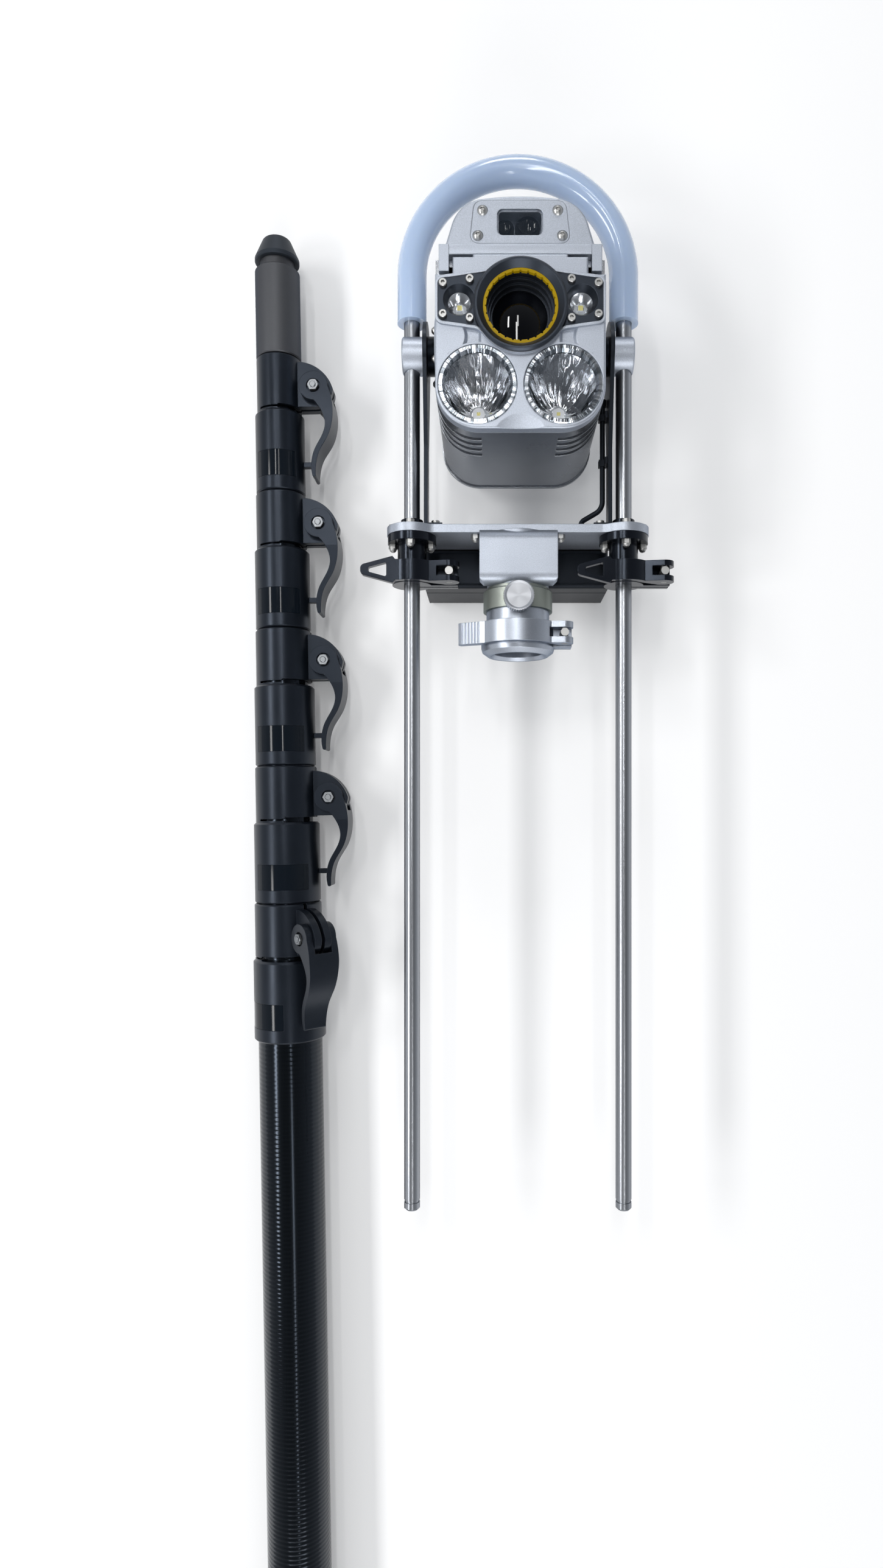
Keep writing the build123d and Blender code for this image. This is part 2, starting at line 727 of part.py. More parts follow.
def lens_barrel():
    barrel = bar_z(BARREL_R, BARREL_END_Z, SEAL_Z)
    for step in range(BARREL_STEPS):
        radius, floor = barrel_step(step)
        barrel -= bar_z(radius, floor, SEAL_Z + 1)
    last, floor = barrel_step(BARREL_STEPS - 1)
    return barrel - bar_z(last - BARREL_WALL, BARREL_END_Z - 1, SEAL_Z)


def lens_glass():
    """Front element: a crowned disc on the lowest step."""
    radius, floor = barrel_step(BARREL_STEPS - 1)
    rim = radius - SEAT_CLEAR
    crown_r = (rim ** 2 + GLASS_CROWN ** 2) / (2 * GLASS_CROWN)
    dome = Pos(0, 0, floor + GLASS_T + GLASS_CROWN - crown_r) * Sphere(crown_r)
    return bar_z(rim, floor, floor + GLASS_T + GLASS_CROWN) & dome


def camera_core():
    core = block((-CORE_W / 2, CORE_W / 2), (-CORE_H / 2, CORE_H / 2),
                 (BARREL_END_Z - CORE_L, BARREL_END_Z))
    return chamfer(core.edges().filter_by(Axis.Z), CORE_EDGE)


# Lamps

def bowl(mouth, depth, wall, floor_r):
    """Reflector: a paraboloid on a flat floor that carries the LED, mouth at Z = 0."""
    rise = [n / BOWL_POINTS for n in range(BOWL_POINTS + 1)]
    span = mouth ** 2 - floor_r ** 2
    inner = [(math.sqrt(floor_r ** 2 + span * t), depth * (t - 1)) for t in rise]
    curve = Spline(*inner)
    back = Polyline(inner[-1], (mouth + wall, 0), (mouth + wall, -wall))
    outer = Spline((mouth + wall, -wall), *[(r + wall, y - wall) for r, y in reversed(inner[1:-1])],
                   (floor_r + wall, -depth - wall))
    base = Polyline((floor_r + wall, -depth - wall), (0, -depth - wall), (0, -depth), inner[0])
    return revolve(Plane.XZ * make_face([curve, back, outer, base]), Axis.Z)


def spot_bezel():
    """Chrome ring with a sloped lip that holds the window in."""
    outer = SPOT_R
    edge = SPOT_RING_EDGE
    lip = SPOT_MOUTH_R - SPOT_LIP
    seat = SPOT_MOUTH_R + SPOT_BOWL_WALL + 2 * SEAT_CLEAR
    top = FACE_Z + SPOT_LIP
    ledge = FACE_Z - SPOT_WINDOW_DROP
    return turned_z([(seat, SEAT_Z), (outer, SEAT_Z), (outer, top - edge), (outer - edge, top),
                     (lip + SPOT_LIP_SLOPE, top), (lip, ledge), (seat, ledge)])


def spot_window():
    radius = SPOT_MOUTH_R + SPOT_BOWL_WALL
    top = FACE_Z - SPOT_WINDOW_DROP
    return bar_z(radius, top - SPOT_WINDOW_T, top)


def spot_mouth_z():
    return FACE_Z - SPOT_WINDOW_DROP - SPOT_WINDOW_T


def small_mouth_z():
    return FACE_Z - BEZEL_SINK


def lamp_reflectors():
    spot = Pos(0, 0, spot_mouth_z()) * bowl(SPOT_MOUTH_R, SPOT_DEPTH, SPOT_BOWL_WALL, LED_R + LED_EDGE)
    small_floor = SMALL_LED_SIDE * math.sqrt(0.5)
    small = Pos(0, 0, small_mouth_z()) * bowl(SMALL_LAMP_R, SMALL_LAMP_D, SMALL_CUP_WALL, small_floor)
    return [place * spot for place in spot_places()] + [place * small for place in small_lamp_places()]


def lamp_leds():
    """A round base with a chip on it in each spot lamp, and one chip in each small lamp."""
    floor = spot_mouth_z() - SPOT_DEPTH
    spot = bar_z(LED_R, floor, floor + LED_H)
    spot += Pos(0, 0, floor + LED_H + CHIP_H / 2) * Box(CHIP_SIDE, CHIP_SIDE, CHIP_H)
    small_z = small_mouth_z() - SMALL_LAMP_D + SMALL_LED_H / 2
    small = Pos(0, 0, small_z) * Box(SMALL_LED_SIDE, SMALL_LED_SIDE, SMALL_LED_H)
    return [place * spot for place in spot_places()] + [place * small for place in small_lamp_places()]


# Head fasteners and pivots

def cap_screw(radius, height, key):
    """Round head with a hexagon socket, standing on Z = 0."""
    head = bar_z(radius, 0, height)
    head = chamfer(head.edges().sort_by(Axis.Z)[-1], radius * HEAD_EDGE)
    return head - hex_prism_z(key, height * KEY_FLOOR, height + 1)


def button_screw(radius, height, key):
    """Domed head with a hexagon socket, standing on Z = 0."""
    crown = (radius ** 2 + height ** 2) / (2 * height)
    head = bar_z(radius, 0, height) & Pos(0, 0, height - crown) * Sphere(crown)
    return head - hex_prism_z(key, height * KEY_FLOOR, height + 1)


def head_screws():
    bezel_head = cap_screw(*M3_HEAD)
    lid_head = button_screw(*M4_HEAD)
    hub_head = button_screw(*HUB_HEAD)
    screws = []
    for side in (-1, 1):
        for x, y in BEZEL_SCREWS:
            screws += [Pos(side * x, WING_LIFT + up * y, BEZEL_TOP_Z) * bezel_head for up in (-1, 1)]
        for x, y in LID_SCREWS:
            screws.append(Pos(side * x, FINDER_LID_Y + y, FINDER_Z) * lid_head)
        face = Pos(side * HUB_OUT, 0, TILT_Z) * Rot(0, side * 90, 0)
        for spot in PolarLocations(HUB_SCREW_R, HUB_SCREW_COUNT, HUB_SCREW_TURN):
            screws.append(face * spot * hub_head)
    return screws


def pivot_hub():
    flange = bar_x(HUB_FLANGE_R, HEAD_W / 2, HUB_OUT, 0, TILT_Z)
    flange = chamfer(flange.edges().sort_by(Axis.X)[-1], HUB_EDGE)
    shoulder = bar_x(HUB_SHOULDER_R, HUB_OUT, ARM_IN - MOVE_GAP, 0, TILT_Z)
    return flange + shoulder + bar_x(HUB_SHAFT_R, HUB_OUT, ARM_OUT, 0, TILT_Z)


def tilt_motor():
    """Gear motor on the inside of the right wall, in line with the hub."""
    wall = HEAD_W / 2 - HEAD_WALL
    motor = bar_x(MOTOR_R, wall - MOTOR_L, wall, 0, TILT_Z)
    return chamfer(motor.edges().filter_by(GeomType.CIRCLE), MOTOR_EDGE)


# Yoke

def yoke_arm():
    """Right arm: round head on the hub, strip down to a foot bent inwards."""
    half = ARM_STRIP_W / 2
    strip = outline((0, TILT_Z - ARM_HEAD_R), (0, TILT_Z + ARM_HEAD_R), (-ARM_NECK, TILT_Z + half),
                    (PLATE_TOP, TILT_Z + half), (PLATE_TOP, TILT_Z - half), (-ARM_NECK, TILT_Z - half))
    strip = fillet(strip.vertices().group_by(Axis.X)[1], ARM_BLEND_R)
    arm = side_prism(strip + Pos(0, TILT_Z) * Circle(ARM_HEAD_R), ARM_IN, ARM_OUT)
    arm += block((ARM_IN - FOOT_L, ARM_IN), (PLATE_TOP, PLATE_TOP + ARM_T), (TILT_Z - half, TILT_Z + half))
    return arm - bar_x(HUB_SHAFT_R + RUN_CLEAR, 0, 2 * ARM_OUT, 0, TILT_Z)


def rod_guide():
    """Boss on the outside of the arm, bored across for the rod."""
    boss = bar_x(GUIDE_R, ARM_OUT, ROD_X + ROD_R + GUIDE_END, 0, TILT_Z)
    boss = chamfer(boss.edges().sort_by(Axis.X)[-1], GUIDE_CHAMFER)
    return boss - bar_y(ROD_R + SLIDE_CLEAR, -PLATE_DROP, PLATE_DROP, ROD_X, TILT_Z)


def cross_plate():
    half = ROD_X - PLATE_IN
    front = TILT_Z + PLATE_FRONT
    back = TILT_Z - PLATE_ARM_BACK
    plan = outline((-half, PLATE_BACK_Z), (half, PLATE_BACK_Z), (half, back), (ROD_X, back),
                   (ROD_X, front), (-ROD_X, front), (-ROD_X, back), (-half, back))
    for side in (-1, 1):
        plan += Pos(side * ROD_X, TILT_Z) * Circle(PLATE_LOBE_R)
    plan = offset(offset(plan, PLATE_BLEND_R), -PLATE_BLEND_R)
    plate = plan_prism(plan, PLATE_TOP, PLATE_T)
    for side in (-1, 1):
        plate -= bar_y(BUSH_R + SEAT_CLEAR, 0, 2 * PLATE_LOW, side * ROD_X, TILT_Z)
    return plate


def battery_box():
    box = block((-BOX_W / 2, BOX_W / 2), (PLATE_LOW - BOX_H, PLATE_LOW), (0, BOX_DEPTH))
    box = fillet(box.edges().filter_by(Axis.X) + box.edges().filter_by(Axis.Y), BOX_EDGE_R)
    rim = block((-BOX_W, BOX_W), (2 * PLATE_LOW, 0), (BOX_SEAM_Z, BOX_SEAM_Z + BOX_SEAM))
    waist = block((BOX_SEAM - BOX_W / 2, BOX_W / 2 - BOX_SEAM),
                  (PLATE_LOW - BOX_H + BOX_SEAM, PLATE_LOW + 1), (0, BOX_DEPTH))
    return box - (rim - waist)


def adapter_block():
    """Folded front on a round boss with a blind bore for the pole's tip."""
    half = BLOCK_W / 2
    low = BLOCK_LOW
    face = outline((-half, PLATE_LOW), (-half, low + BLOCK_CUT), (BLOCK_CUT - half, low),
                   (half - BLOCK_CUT, low), (half, low + BLOCK_CUT), (half, PLATE_LOW))
    front = TILT_Z + BLOCK_FRONT
    body = front_prism(face, front - BLOCK_DEPTH, front)
    rounded = block((-half, half), (low, PLATE_LOW), (front - BLOCK_DEPTH, front))
    edges = rounded.faces().sort_by(Axis.Z)[-1].edges().filter_by(Axis.X).sort_by(Axis.Y)
    rounded = fillet(edges[0], BLOCK_LOW_R)
    edges = rounded.edges().filter_by(Axis.X).sort_by(lambda e: e.center().Y + e.center().Z)
    body &= fillet(edges[-1], BLOCK_TOP_R)
    body += bar_y(SPIGOT_R, low, PLATE_LOW, 0, TILT_Z)
    return body - bar_y(SOCKET_BORE_R, low - 1, PLATE_LOW - BORE_TOP, 0, TILT_Z)


def swivel_spigot():
    spigot = turned_y([(SOCKET_BORE_R, BLOCK_LOW), (SPIGOT_R, BLOCK_LOW), (SPIGOT_R, SPIGOT_LOW),
                       (SPIGOT_NECK_R, SPIGOT_LOW), (SPIGOT_NECK_R, COLLAR_LOW + MOVE_GAP),
                       (SOCKET_BORE_R, COLLAR_LOW + MOVE_GAP)])
    return Pos(0, 0, TILT_Z) * spigot


# Rod clamps

def clamp_ears(pin_x, front, ring_r, y_top, y_low):
    """Two ears of a split clamp ring, on its right, with the slit between them."""
    back = front - 2 * EAR_T - EAR_SPLIT
    end = pin_x + DRAW_BOLT_R + EAR_END
    ears = block((ring_r * 0.5, end), (y_low, y_top), (back, front))
    slit = block((0, end + 1), (y_low - 1, y_top + 1), (back + EAR_T, front - EAR_T))
    hole = bar_z(DRAW_BOLT_R + SEAT_CLEAR, back - 1, front + 1, pin_x, (y_low + y_top) / 2)
    return ears, slit + hole


def rod_clamp():
    """Bush through the plate, bolted flange, neck and split ring, about the rod."""
    body = turned_y([(0, PLATE_TOP + BUSH_H), (BUSH_R, PLATE_TOP + BUSH_H), (BUSH_R, PLATE_LOW),
                     (FLANGE_R, PLATE_LOW), (FLANGE_R, FLANGE_LOW), (NECK_R, FLANGE_LOW),
                     (NECK_R, CLAMP_TOP), (CLAMP_R, CLAMP_TOP), (CLAMP_R, CLAMP_LOW), (0, CLAMP_LOW)])
    front = CLAMP_PIN_Z - CLAMP_HUB_R - MOVE_GAP
    ears, cuts = clamp_ears(CLAMP_PIN_X, front, CLAMP_R, CLAMP_TOP, CLAMP_LOW)
    return body + ears - cuts - bar_y(ROD_R + SLIDE_CLEAR, PLATE_TOP + 2 * BUSH_H, 2 * CLAMP_LOW)


def draw_bolt(pin_x, pin_z, hub_r, middle, height):
    """Draw bolt of a clamp, fast to the lever's cross pin, with its nut behind the ears."""
    front = pin_z - hub_r - MOVE_GAP
    back = front - 2 * EAR_T - EAR_SPLIT
    bolt = bar_z(DRAW_BOLT_R, back - DRAW_NUT_H, pin_z + hub_r - DRAW_BOLT_SINK, pin_x, middle)
    nut = Pos(pin_x, middle, 0) * Rot(0, 0, 30) * hex_prism_z(2 * DRAW_NUT_R, back - DRAW_NUT_H, back)
    return bolt + nut + bar_y(PIN_R, middle - height / 2, middle + height / 2, pin_x, pin_z)


def lever_plan(pin_x, pin_z, hub_r, band_r, band_t, angles):
    """Plan of a clamp lever: boss round the pin and a band round the front of the ring."""
    start, end = [math.radians(a) for a in angles]
    mid = (start + end) / 2
    outer = band_r + band_t

    def at(radius, angle):
        return (radius * math.cos(angle), radius * math.sin(angle))

    rim = ThreePointArc(at(outer, start), at(outer, mid), at(outer, end))
    close_left = Line(at(outer, end), at(band_r, end))
    inside = ThreePointArc(at(band_r, end), at(band_r, mid), at(band_r, start))
    close_right = Line(at(band_r, start), at(outer, start))
    band = make_face([rim, close_left, inside, close_right])
    boss = Pos(pin_x, pin_z) * Circle(hub_r)
    bridge = outline((pin_x, pin_z + hub_r), at(outer, start), at(band_r, start),
                     (pin_x - hub_r * 0.6, pin_z - hub_r * 0.8))
    return band + boss + bridge - Circle(band_r)


def lever_cuts(pin_x, pin_z, hub_r, middle, slot_l):
    """Pin hole, and the slot that clears the draw bolt."""
    hole = bar_y(PIN_R + RUN_CLEAR, middle - THROUGH, middle + THROUGH, pin_x, pin_z)
    half = LEVER_SLOT_H / 2
    slot = block((pin_x - slot_l, pin_x + 2 * hub_r), (middle - half, middle + half),
                 (-THROUGH, THROUGH))
    return hole + slot


def rod_lever():
    """Clamp lever that ends in a flat finger loop."""
    band_r = CLAMP_R + MOVE_GAP
    plan = lever_plan(CLAMP_PIN_X, CLAMP_PIN_Z, CLAMP_HUB_R, band_r, CLAMP_BAND_T, CLAMP_BAND_ANGLES)
    front = band_r + CLAMP_BAND_T * HANDLE_RISE
    tail = outline((-HANDLE_START, front - HANDLE_T), (-HANDLE_START, front), (-HANDLE_END, front),
                   (-HANDLE_END, front - HANDLE_T))
    plan = plan + tail - Circle(band_r)
    lever = plan_prism(plan, CLAMP_MID + HANDLE_H / 2, HANDLE_H)
    far = CLAMP_PIN_X + 2 * CLAMP_HUB_R
    low = CLAMP_H / 2 - MOVE_GAP
    high = HANDLE_H / 2
    tip = HANDLE_TIP_H / 2
    shape = outline((far, low), (HANDLE_STEP - HANDLE_ROOT, low), (-HANDLE_ROOT, high),
                    (-HANDLE_END, tip), (-HANDLE_END, -tip), (-HANDLE_ROOT, -high),
                    (HANDLE_STEP - HANDLE_ROOT, -low), (far, -low))
    shape = fillet(shape.vertices().group_by(Axis.X)[0], tip - SEAT_CLEAR)
    hole_x = HANDLE_ROOT + HANDLE_WALL
    hole_end = HANDLE_END - HANDLE_TIP_WALL
    hole = outline((-hole_x, high - HANDLE_WALL), (-hole_end, tip / 2), (-hole_end, -tip / 2),
                   (-hole_x, HANDLE_WALL - high))
    shape -= fillet(hole.vertices(), LOOP_CORNER_R)
    lever &= Pos(0, CLAMP_MID, 0) * front_prism(shape, -THROUGH, THROUGH)
    return lever - lever_cuts(CLAMP_PIN_X, CLAMP_PIN_Z, CLAMP_HUB_R, CLAMP_MID, LEVER_SLOT_L)


def rod_places():
    return [Pos(side * ROD_X, 0, TILT_Z) for side in (-1, 1)]


def clamp_bolt():
    return draw_bolt(CLAMP_PIN_X, CLAMP_PIN_Z, CLAMP_HUB_R, CLAMP_MID, CLAMP_H - 2 * MOVE_GAP)


def acorn_nut():
    """Domed nut under the flange, hanging from Y = 0."""
    seat = extrude(Plane.XZ * RegularPolygon(NUT_R, 6), amount=NUT_H)
    return seat + Pos(0, -NUT_H, 0) * Sphere(NUT_R * NUT_DOME)


def flange_fasteners():
    """Four acorn nuts under each flange, screw heads on the plate, and two block screws."""
    pieces = []
    for side in (-1, 1):
        rod = Pos(side * ROD_X, 0, TILT_Z)
        for turn in range(FLANGE_BOLTS):
            angle = turn * 2 * math.pi / FLANGE_BOLTS
            x = NUT_CIRCLE_R * math.cos(angle)
            z = NUT_CIRCLE_R * math.sin(angle)
            pieces.append(rod * Pos(x, FLANGE_LOW, z) * acorn_nut())
            if x * side > -1.0:
                pieces.append(rod * bar_y(SCREW_HEAD_R, PLATE_TOP, PLATE_TOP + SCREW_HEAD_H, x, z))
        beside = side * (BLOCK_W / 2 + NUT_R)
        pieces.append(Pos(beside, PLATE_LOW, TILT_Z + PLATE_FRONT - 2 * NUT_R) * acorn_nut())
        foot = side * (ARM_IN - FOOT_L / 2)
        foot_top = PLATE_TOP + ARM_T
        pieces.append(bar_y(SCREW_HEAD_R, foot_top, foot_top + SCREW_HEAD_H, foot, TILT_Z))
    return pieces


# Pole socket

def swivel_collar():
    collar = turned_y([(SPIGOT_NECK_R + RUN_CLEAR, COLLAR_TOP), (COLLAR_R - SWIVEL_EDGE, COLLAR_TOP),
                       (COLLAR_R, COLLAR_TOP - SWIVEL_EDGE), (COLLAR_R, COLLAR_LOW),
                       (SPIGOT_NECK_R + RUN_CLEAR, COLLAR_LOW)])
    collar = Pos(0, 0, TILT_Z) * collar
    return collar - bar_z(KNOB_STEM_R + RUN_CLEAR, TILT_Z, 2 * TILT_Z, 0, KNOB_Y)


def pole_socket():
    """Turned socket with a split clamp ring and a funnel mouth."""
    body = turned_y([(SOCKET_BORE_R, COLLAR_LOW), (SOCKET_NECK_R, COLLAR_LOW),
                     (SOCKET_NECK_R, SOCKET_TOP), (SOCKET_R, SOCKET_TOP), (SOCKET_R, SOCKET_LOW),
                     ((SOCKET_R + MOUTH_R) / 2 + FUNNEL_BELLY, (SOCKET_LOW + MOUTH_Y) / 2),
                     (MOUTH_R, MOUTH_Y), (SOCKET_BORE_R + MOUTH_CHAMFER, MOUTH_Y),
                     (SOCKET_BORE_R, MOUTH_Y + MOUTH_CHAMFER)])
    front = SOCKET_PIN_Z - SOCKET_HUB_R - MOVE_GAP
    ears, cuts = clamp_ears(SOCKET_PIN_X, front, SOCKET_R, SOCKET_TOP, SOCKET_LOW)
    ears -= bar_y(SOCKET_BORE_R + SPIGOT_RIM / 2, 0, 2 * MOUTH_Y)
    return Pos(0, 0, TILT_Z) * (body + ears - cuts)


def socket_bolt():
    height = SOCKET_H - 2 * SOCKET_LEVER_TRIM
    bolt = draw_bolt(SOCKET_PIN_X, SOCKET_PIN_Z, SOCKET_HUB_R, SOCKET_MID, height)
    return Pos(0, 0, TILT_Z) * bolt


def socket_lever():
    """Clamp lever round the socket, with a ribbed thumb end."""
    band_r = SOCKET_R + MOVE_GAP
    plan = lever_plan(SOCKET_PIN_X, SOCKET_PIN_Z, SOCKET_HUB_R, band_r, SOCKET_BAND_T, SOCKET_BAND_ANGLES)
    end = math.radians(SOCKET_BAND_ANGLES[1])
    root_x = (band_r + SOCKET_BAND_T) * math.cos(end)
    root_z = (band_r + SOCKET_BAND_T) * math.sin(end)
    front = root_z - THUMB_DROP
    back = front - THUMB_T
    thumb = outline((root_x + THUMB_ROOT, root_z + THUMB_RISE), (THUMB_EDGE - THUMB_END, front),
                    (-THUMB_END, front - THUMB_EDGE), (-THUMB_END, back + THUMB_EDGE),
                    (THUMB_EDGE - THUMB_END, back), (root_x + THUMB_ROOT / 2, root_z - THUMB_RISE))
    plan = plan + thumb - Circle(band_r)
    height = SOCKET_H - 2 * SOCKET_LEVER_TRIM
    lever = plan_prism(plan, SOCKET_MID + height / 2, height)
    start = THUMB_EDGE - THUMB_END
    slope = (THUMB_DROP + THUMB_RISE) / (root_x + THUMB_ROOT - start)
    for rib in range(THUMB_RIBS):
        x = THUMB_RIB_FIRST - THUMB_END + rib * THUMB_RIB_PITCH
        z = front + (x - start) * slope + THUMB_RIB_LIFT
        lever -= bar_y(THUMB_RIB_R, SOCKET_TOP, SOCKET_LOW, x, z)
    lever -= lever_cuts(SOCKET_PIN_X, SOCKET_PIN_Z, SOCKET_HUB_R, SOCKET_MID, SOCKET_SLOT_L)
    return Pos(0, 0, TILT_Z) * lever


def swivel_knob():
    """Knurled thumb screw through the swivel collar."""
    tips = []
    for n in range(2 * KNOB_TEETH):
        radius = KNOB_R - (n % 2) * KNOB_TOOTH
        angle = n * math.pi / KNOB_TEETH
        tips.append((radius * math.cos(angle), radius * math.sin(angle)))
    grip = front_prism(outline(*tips), KNOB_BACK, KNOB_BACK + KNOB_H)
    inside = KNOB_R - KNOB_TOOTH
    top = KNOB_BACK + KNOB_H
    grip &= turned_z([(0, KNOB_BACK), (inside, KNOB_BACK), (KNOB_R, KNOB_BACK + KNOB_EDGE),
                      (KNOB_R, top - KNOB_EDGE), (inside - KNOB_TOOTH, top),
                      (inside - KNOB_RIM, top - KNOB_DISH), (0, top - KNOB_DISH)])
    stem = bar_z(KNOB_STEM_R, TILT_Z + SPIGOT_NECK_R + RUN_CLEAR + KNOB_BACKED, KNOB_BACK)
    return Pos(0, KNOB_Y, 0) * (grip + stem)


# Leg frame

def u_tube(radius, low):
    """Round section along both legs and over the bow."""
    bow = Pos(ROD_X, BOW_Y, TILT_Z) * (Plane.XZ * Circle(radius))
    tube = revolve(bow, Axis((0, BOW_Y, 0), (0, 0, 1)), 180)
    for side in (-1, 1):
        tube += bar_y(radius, low, BOW_Y, side * ROD_X, TILT_Z)
    return tube


def leg_rods():
    rods = u_tube(ROD_R, -LEG_END)
    ends = [e for e in rods.edges().filter_by(GeomType.CIRCLE) if e.center().Y < 1 - LEG_END]
    rods = chamfer(ends, LEG_CHAMFER)
    middle = LEG_GROOVE_Y - LEG_END
    low = middle - LEG_GROOVE_W / 2
    high = middle + LEG_GROOVE_W / 2
    floor = ROD_R - LEG_GROOVE_D
    ring = turned_y([(floor, low), (2 * ROD_R, low), (2 * ROD_R, high), (floor, high)])
    return rods - [place * ring for place in rod_places()]


def bumper_sleeve():
    return u_tube(SLEEVE_R, SLEEVE_END) - u_tube(ROD_R + SEAT_CLEAR, SLEEVE_END - 1)


# Head cable

def head_cable():
    """Cable down the inside of the right arm to a gland in the cross plate, with two clips."""
    run_x = ARM_IN - CABLE_R - CLIP_WALL
    gland_top = PLATE_TOP + GLAND_H
    route = FilletPolyline((run_x, -CABLE_TOP, CABLE_Z), (run_x, -CABLE_BEND_Y, CABLE_Z),
                           (CABLE_FOOT_X, gland_top + CABLE_FOOT_RISE, CABLE_FOOT_Z),
                           (CABLE_FOOT_X, gland_top, CABLE_FOOT_Z), radius=(CABLE_BEND_R, CABLE_BEND_R / 2))
    start = Plane(route @ 0, z_dir=route % 0)
    cable = sweep(start * Circle(CABLE_R), path=route)
    gland = Pos(CABLE_FOOT_X, 0, CABLE_FOOT_Z) * bar_y(GLAND_R, PLATE_TOP, gland_top)
    plug = bar_y(GLAND_R, -CABLE_TOP, -CABLE_TOP + GLAND_H, ARM_IN - GLAND_R - SEAT_CLEAR, CABLE_Z)
    pieces = [cable, gland, plug]
    for drop in CLIP_PLACES:
        reach = (CABLE_Z - CABLE_R - CLIP_WALL, CABLE_Z + CLIP_REACH)
        clip = block((run_x - CABLE_R - CLIP_WALL, ARM_IN), (-drop - CLIP_W / 2, -drop + CLIP_W / 2), reach)
        tab = block((0, run_x + CLIP_WALL), (PLATE_TOP, 0),
                    (CABLE_Z + CABLE_R + CLIP_WALL, CABLE_Z + 2 * CLIP_REACH))
        pieces.append(clip - tab - bar_y(CABLE_R + SEAT_CLEAR, PLATE_TOP, 0, run_x, CABLE_Z))
    return pieces


# Pole tubes

def tube_od(section):
    """Outside diameter; section 1 is the thinnest and the last is the main tube."""
    return MAIN_OD - TUBE_STEP * (SECTIONS - section)


def collar_top(k):
    """Top of the collar that clamps section k, in the pole's own frame."""
    return -(k - 1) * COLLAR_PITCH


def barrel_radius(k):
    return tube_od(k + 1) / 2 + BARREL_WALL_T


def ring_radius(k):
    return barrel_radius(k) - RING_STEP


def tube_top(section):
    """Upper end of a tube: inside the adapter, or under its collar's slot."""
    if section == 1:
        return ADAPTER_GAP + ADAPTER_SEAT
    return collar_top(section - 1) - RING_H - SLOT_H - TUBE_SEAT


def tube_end(section):
    if section == SECTIONS:
        return -MAIN_END
    return -INNER_END + (SECTIONS - 1 - section) * END_STAGGER


def pole_tube(section):
    """One tube, and on the inner ones the guide bush that runs in the next tube."""
    radius = tube_od(section) / 2
    top = tube_top(section)
    end = tube_end(section)
    pieces = [bar_y(radius, end, top) - bar_y(radius - TUBE_WALL, end - 1, top + 1)]
    if section < SECTIONS:
        outside = tube_od(section + 1) / 2 - TUBE_WALL - SLIDE_CLEAR
        bush = bar_y(outside, end, end + GUIDE_L) - bar_y(radius, end - 1, end + 2 * GUIDE_L)
        pieces.append(bush)
    return pieces


def pole_foot():
    radius = barrel_radius(SECTIONS - 1)
    foot = bar_y(radius, -MAIN_END - FOOT_T, -MAIN_END + FOOT_GRIP)
    foot = fillet(foot.edges().filter_by(GeomType.CIRCLE), FOOT_EDGE_R)
    return foot - bar_y(MAIN_OD / 2, -MAIN_END, 0)


# Pole collars and levers, drawn with the collar's top at Y = 0 and the lever towards +X

def bolt_x(k):
    return ring_radius(k) + BOLT_OUT


def lug_face(k):
    """Side view of the clamp lugs: one broad lobe round the bolt."""
    x = bolt_x(k)
    y = -BOLT_DROP
    diag = LOBE_R * math.sqrt(0.5)
    shoulder = (ring_radius(k) + LUG_SHOULDER, -LUG_TOP)
    top = Line((0, -LUG_TOP), shoulder)
    brow = ThreePointArc(shoulder, (x + diag * LUG_BROW[0], y + diag * LUG_BROW[1]), (x + LOBE_R, y))
    chin = ThreePointArc((x + LOBE_R, y), (x + diag, y - diag), (x, y - LOBE_R))
    back = Polyline((x, y - LOBE_R), (0, y - LOBE_R), (0, -LUG_TOP))
    return make_face([top, brow, chin, back])


def slot_face(k):
    """Front view of the slot that frees the clamp ring: a pill with a thin slit beyond it."""
    middle = -RING_H - SLOT_H / 2
    radius = ring_radius(k)
    start = SLOT_START * radius + SLOT_H / 2
    pill = Pos(start, middle) * Circle(SLOT_H / 2)
    pill += Pos(start + radius, middle) * Rectangle(2 * radius, SLOT_H)
    slit = Pos((SLIT_START * radius + start) / 2, middle) * Rectangle(start - SLIT_START * radius, SLIT_H)
    return pill + slit


def label_recess(k):
    """Shallow band on the barrel, centred on the side away from the floor."""
    radius = barrel_radius(k)
    y0 = -LABEL_TOP
    face = outline((radius - LABEL_D, y0), (radius + 1, y0), (radius + 1, y0 - LABEL_H),
                   (radius - LABEL_D, y0 - LABEL_H))
    return Rot(0, -90 - LABEL_ARC / 2, 0) * revolve(face, Axis.Y, LABEL_ARC)


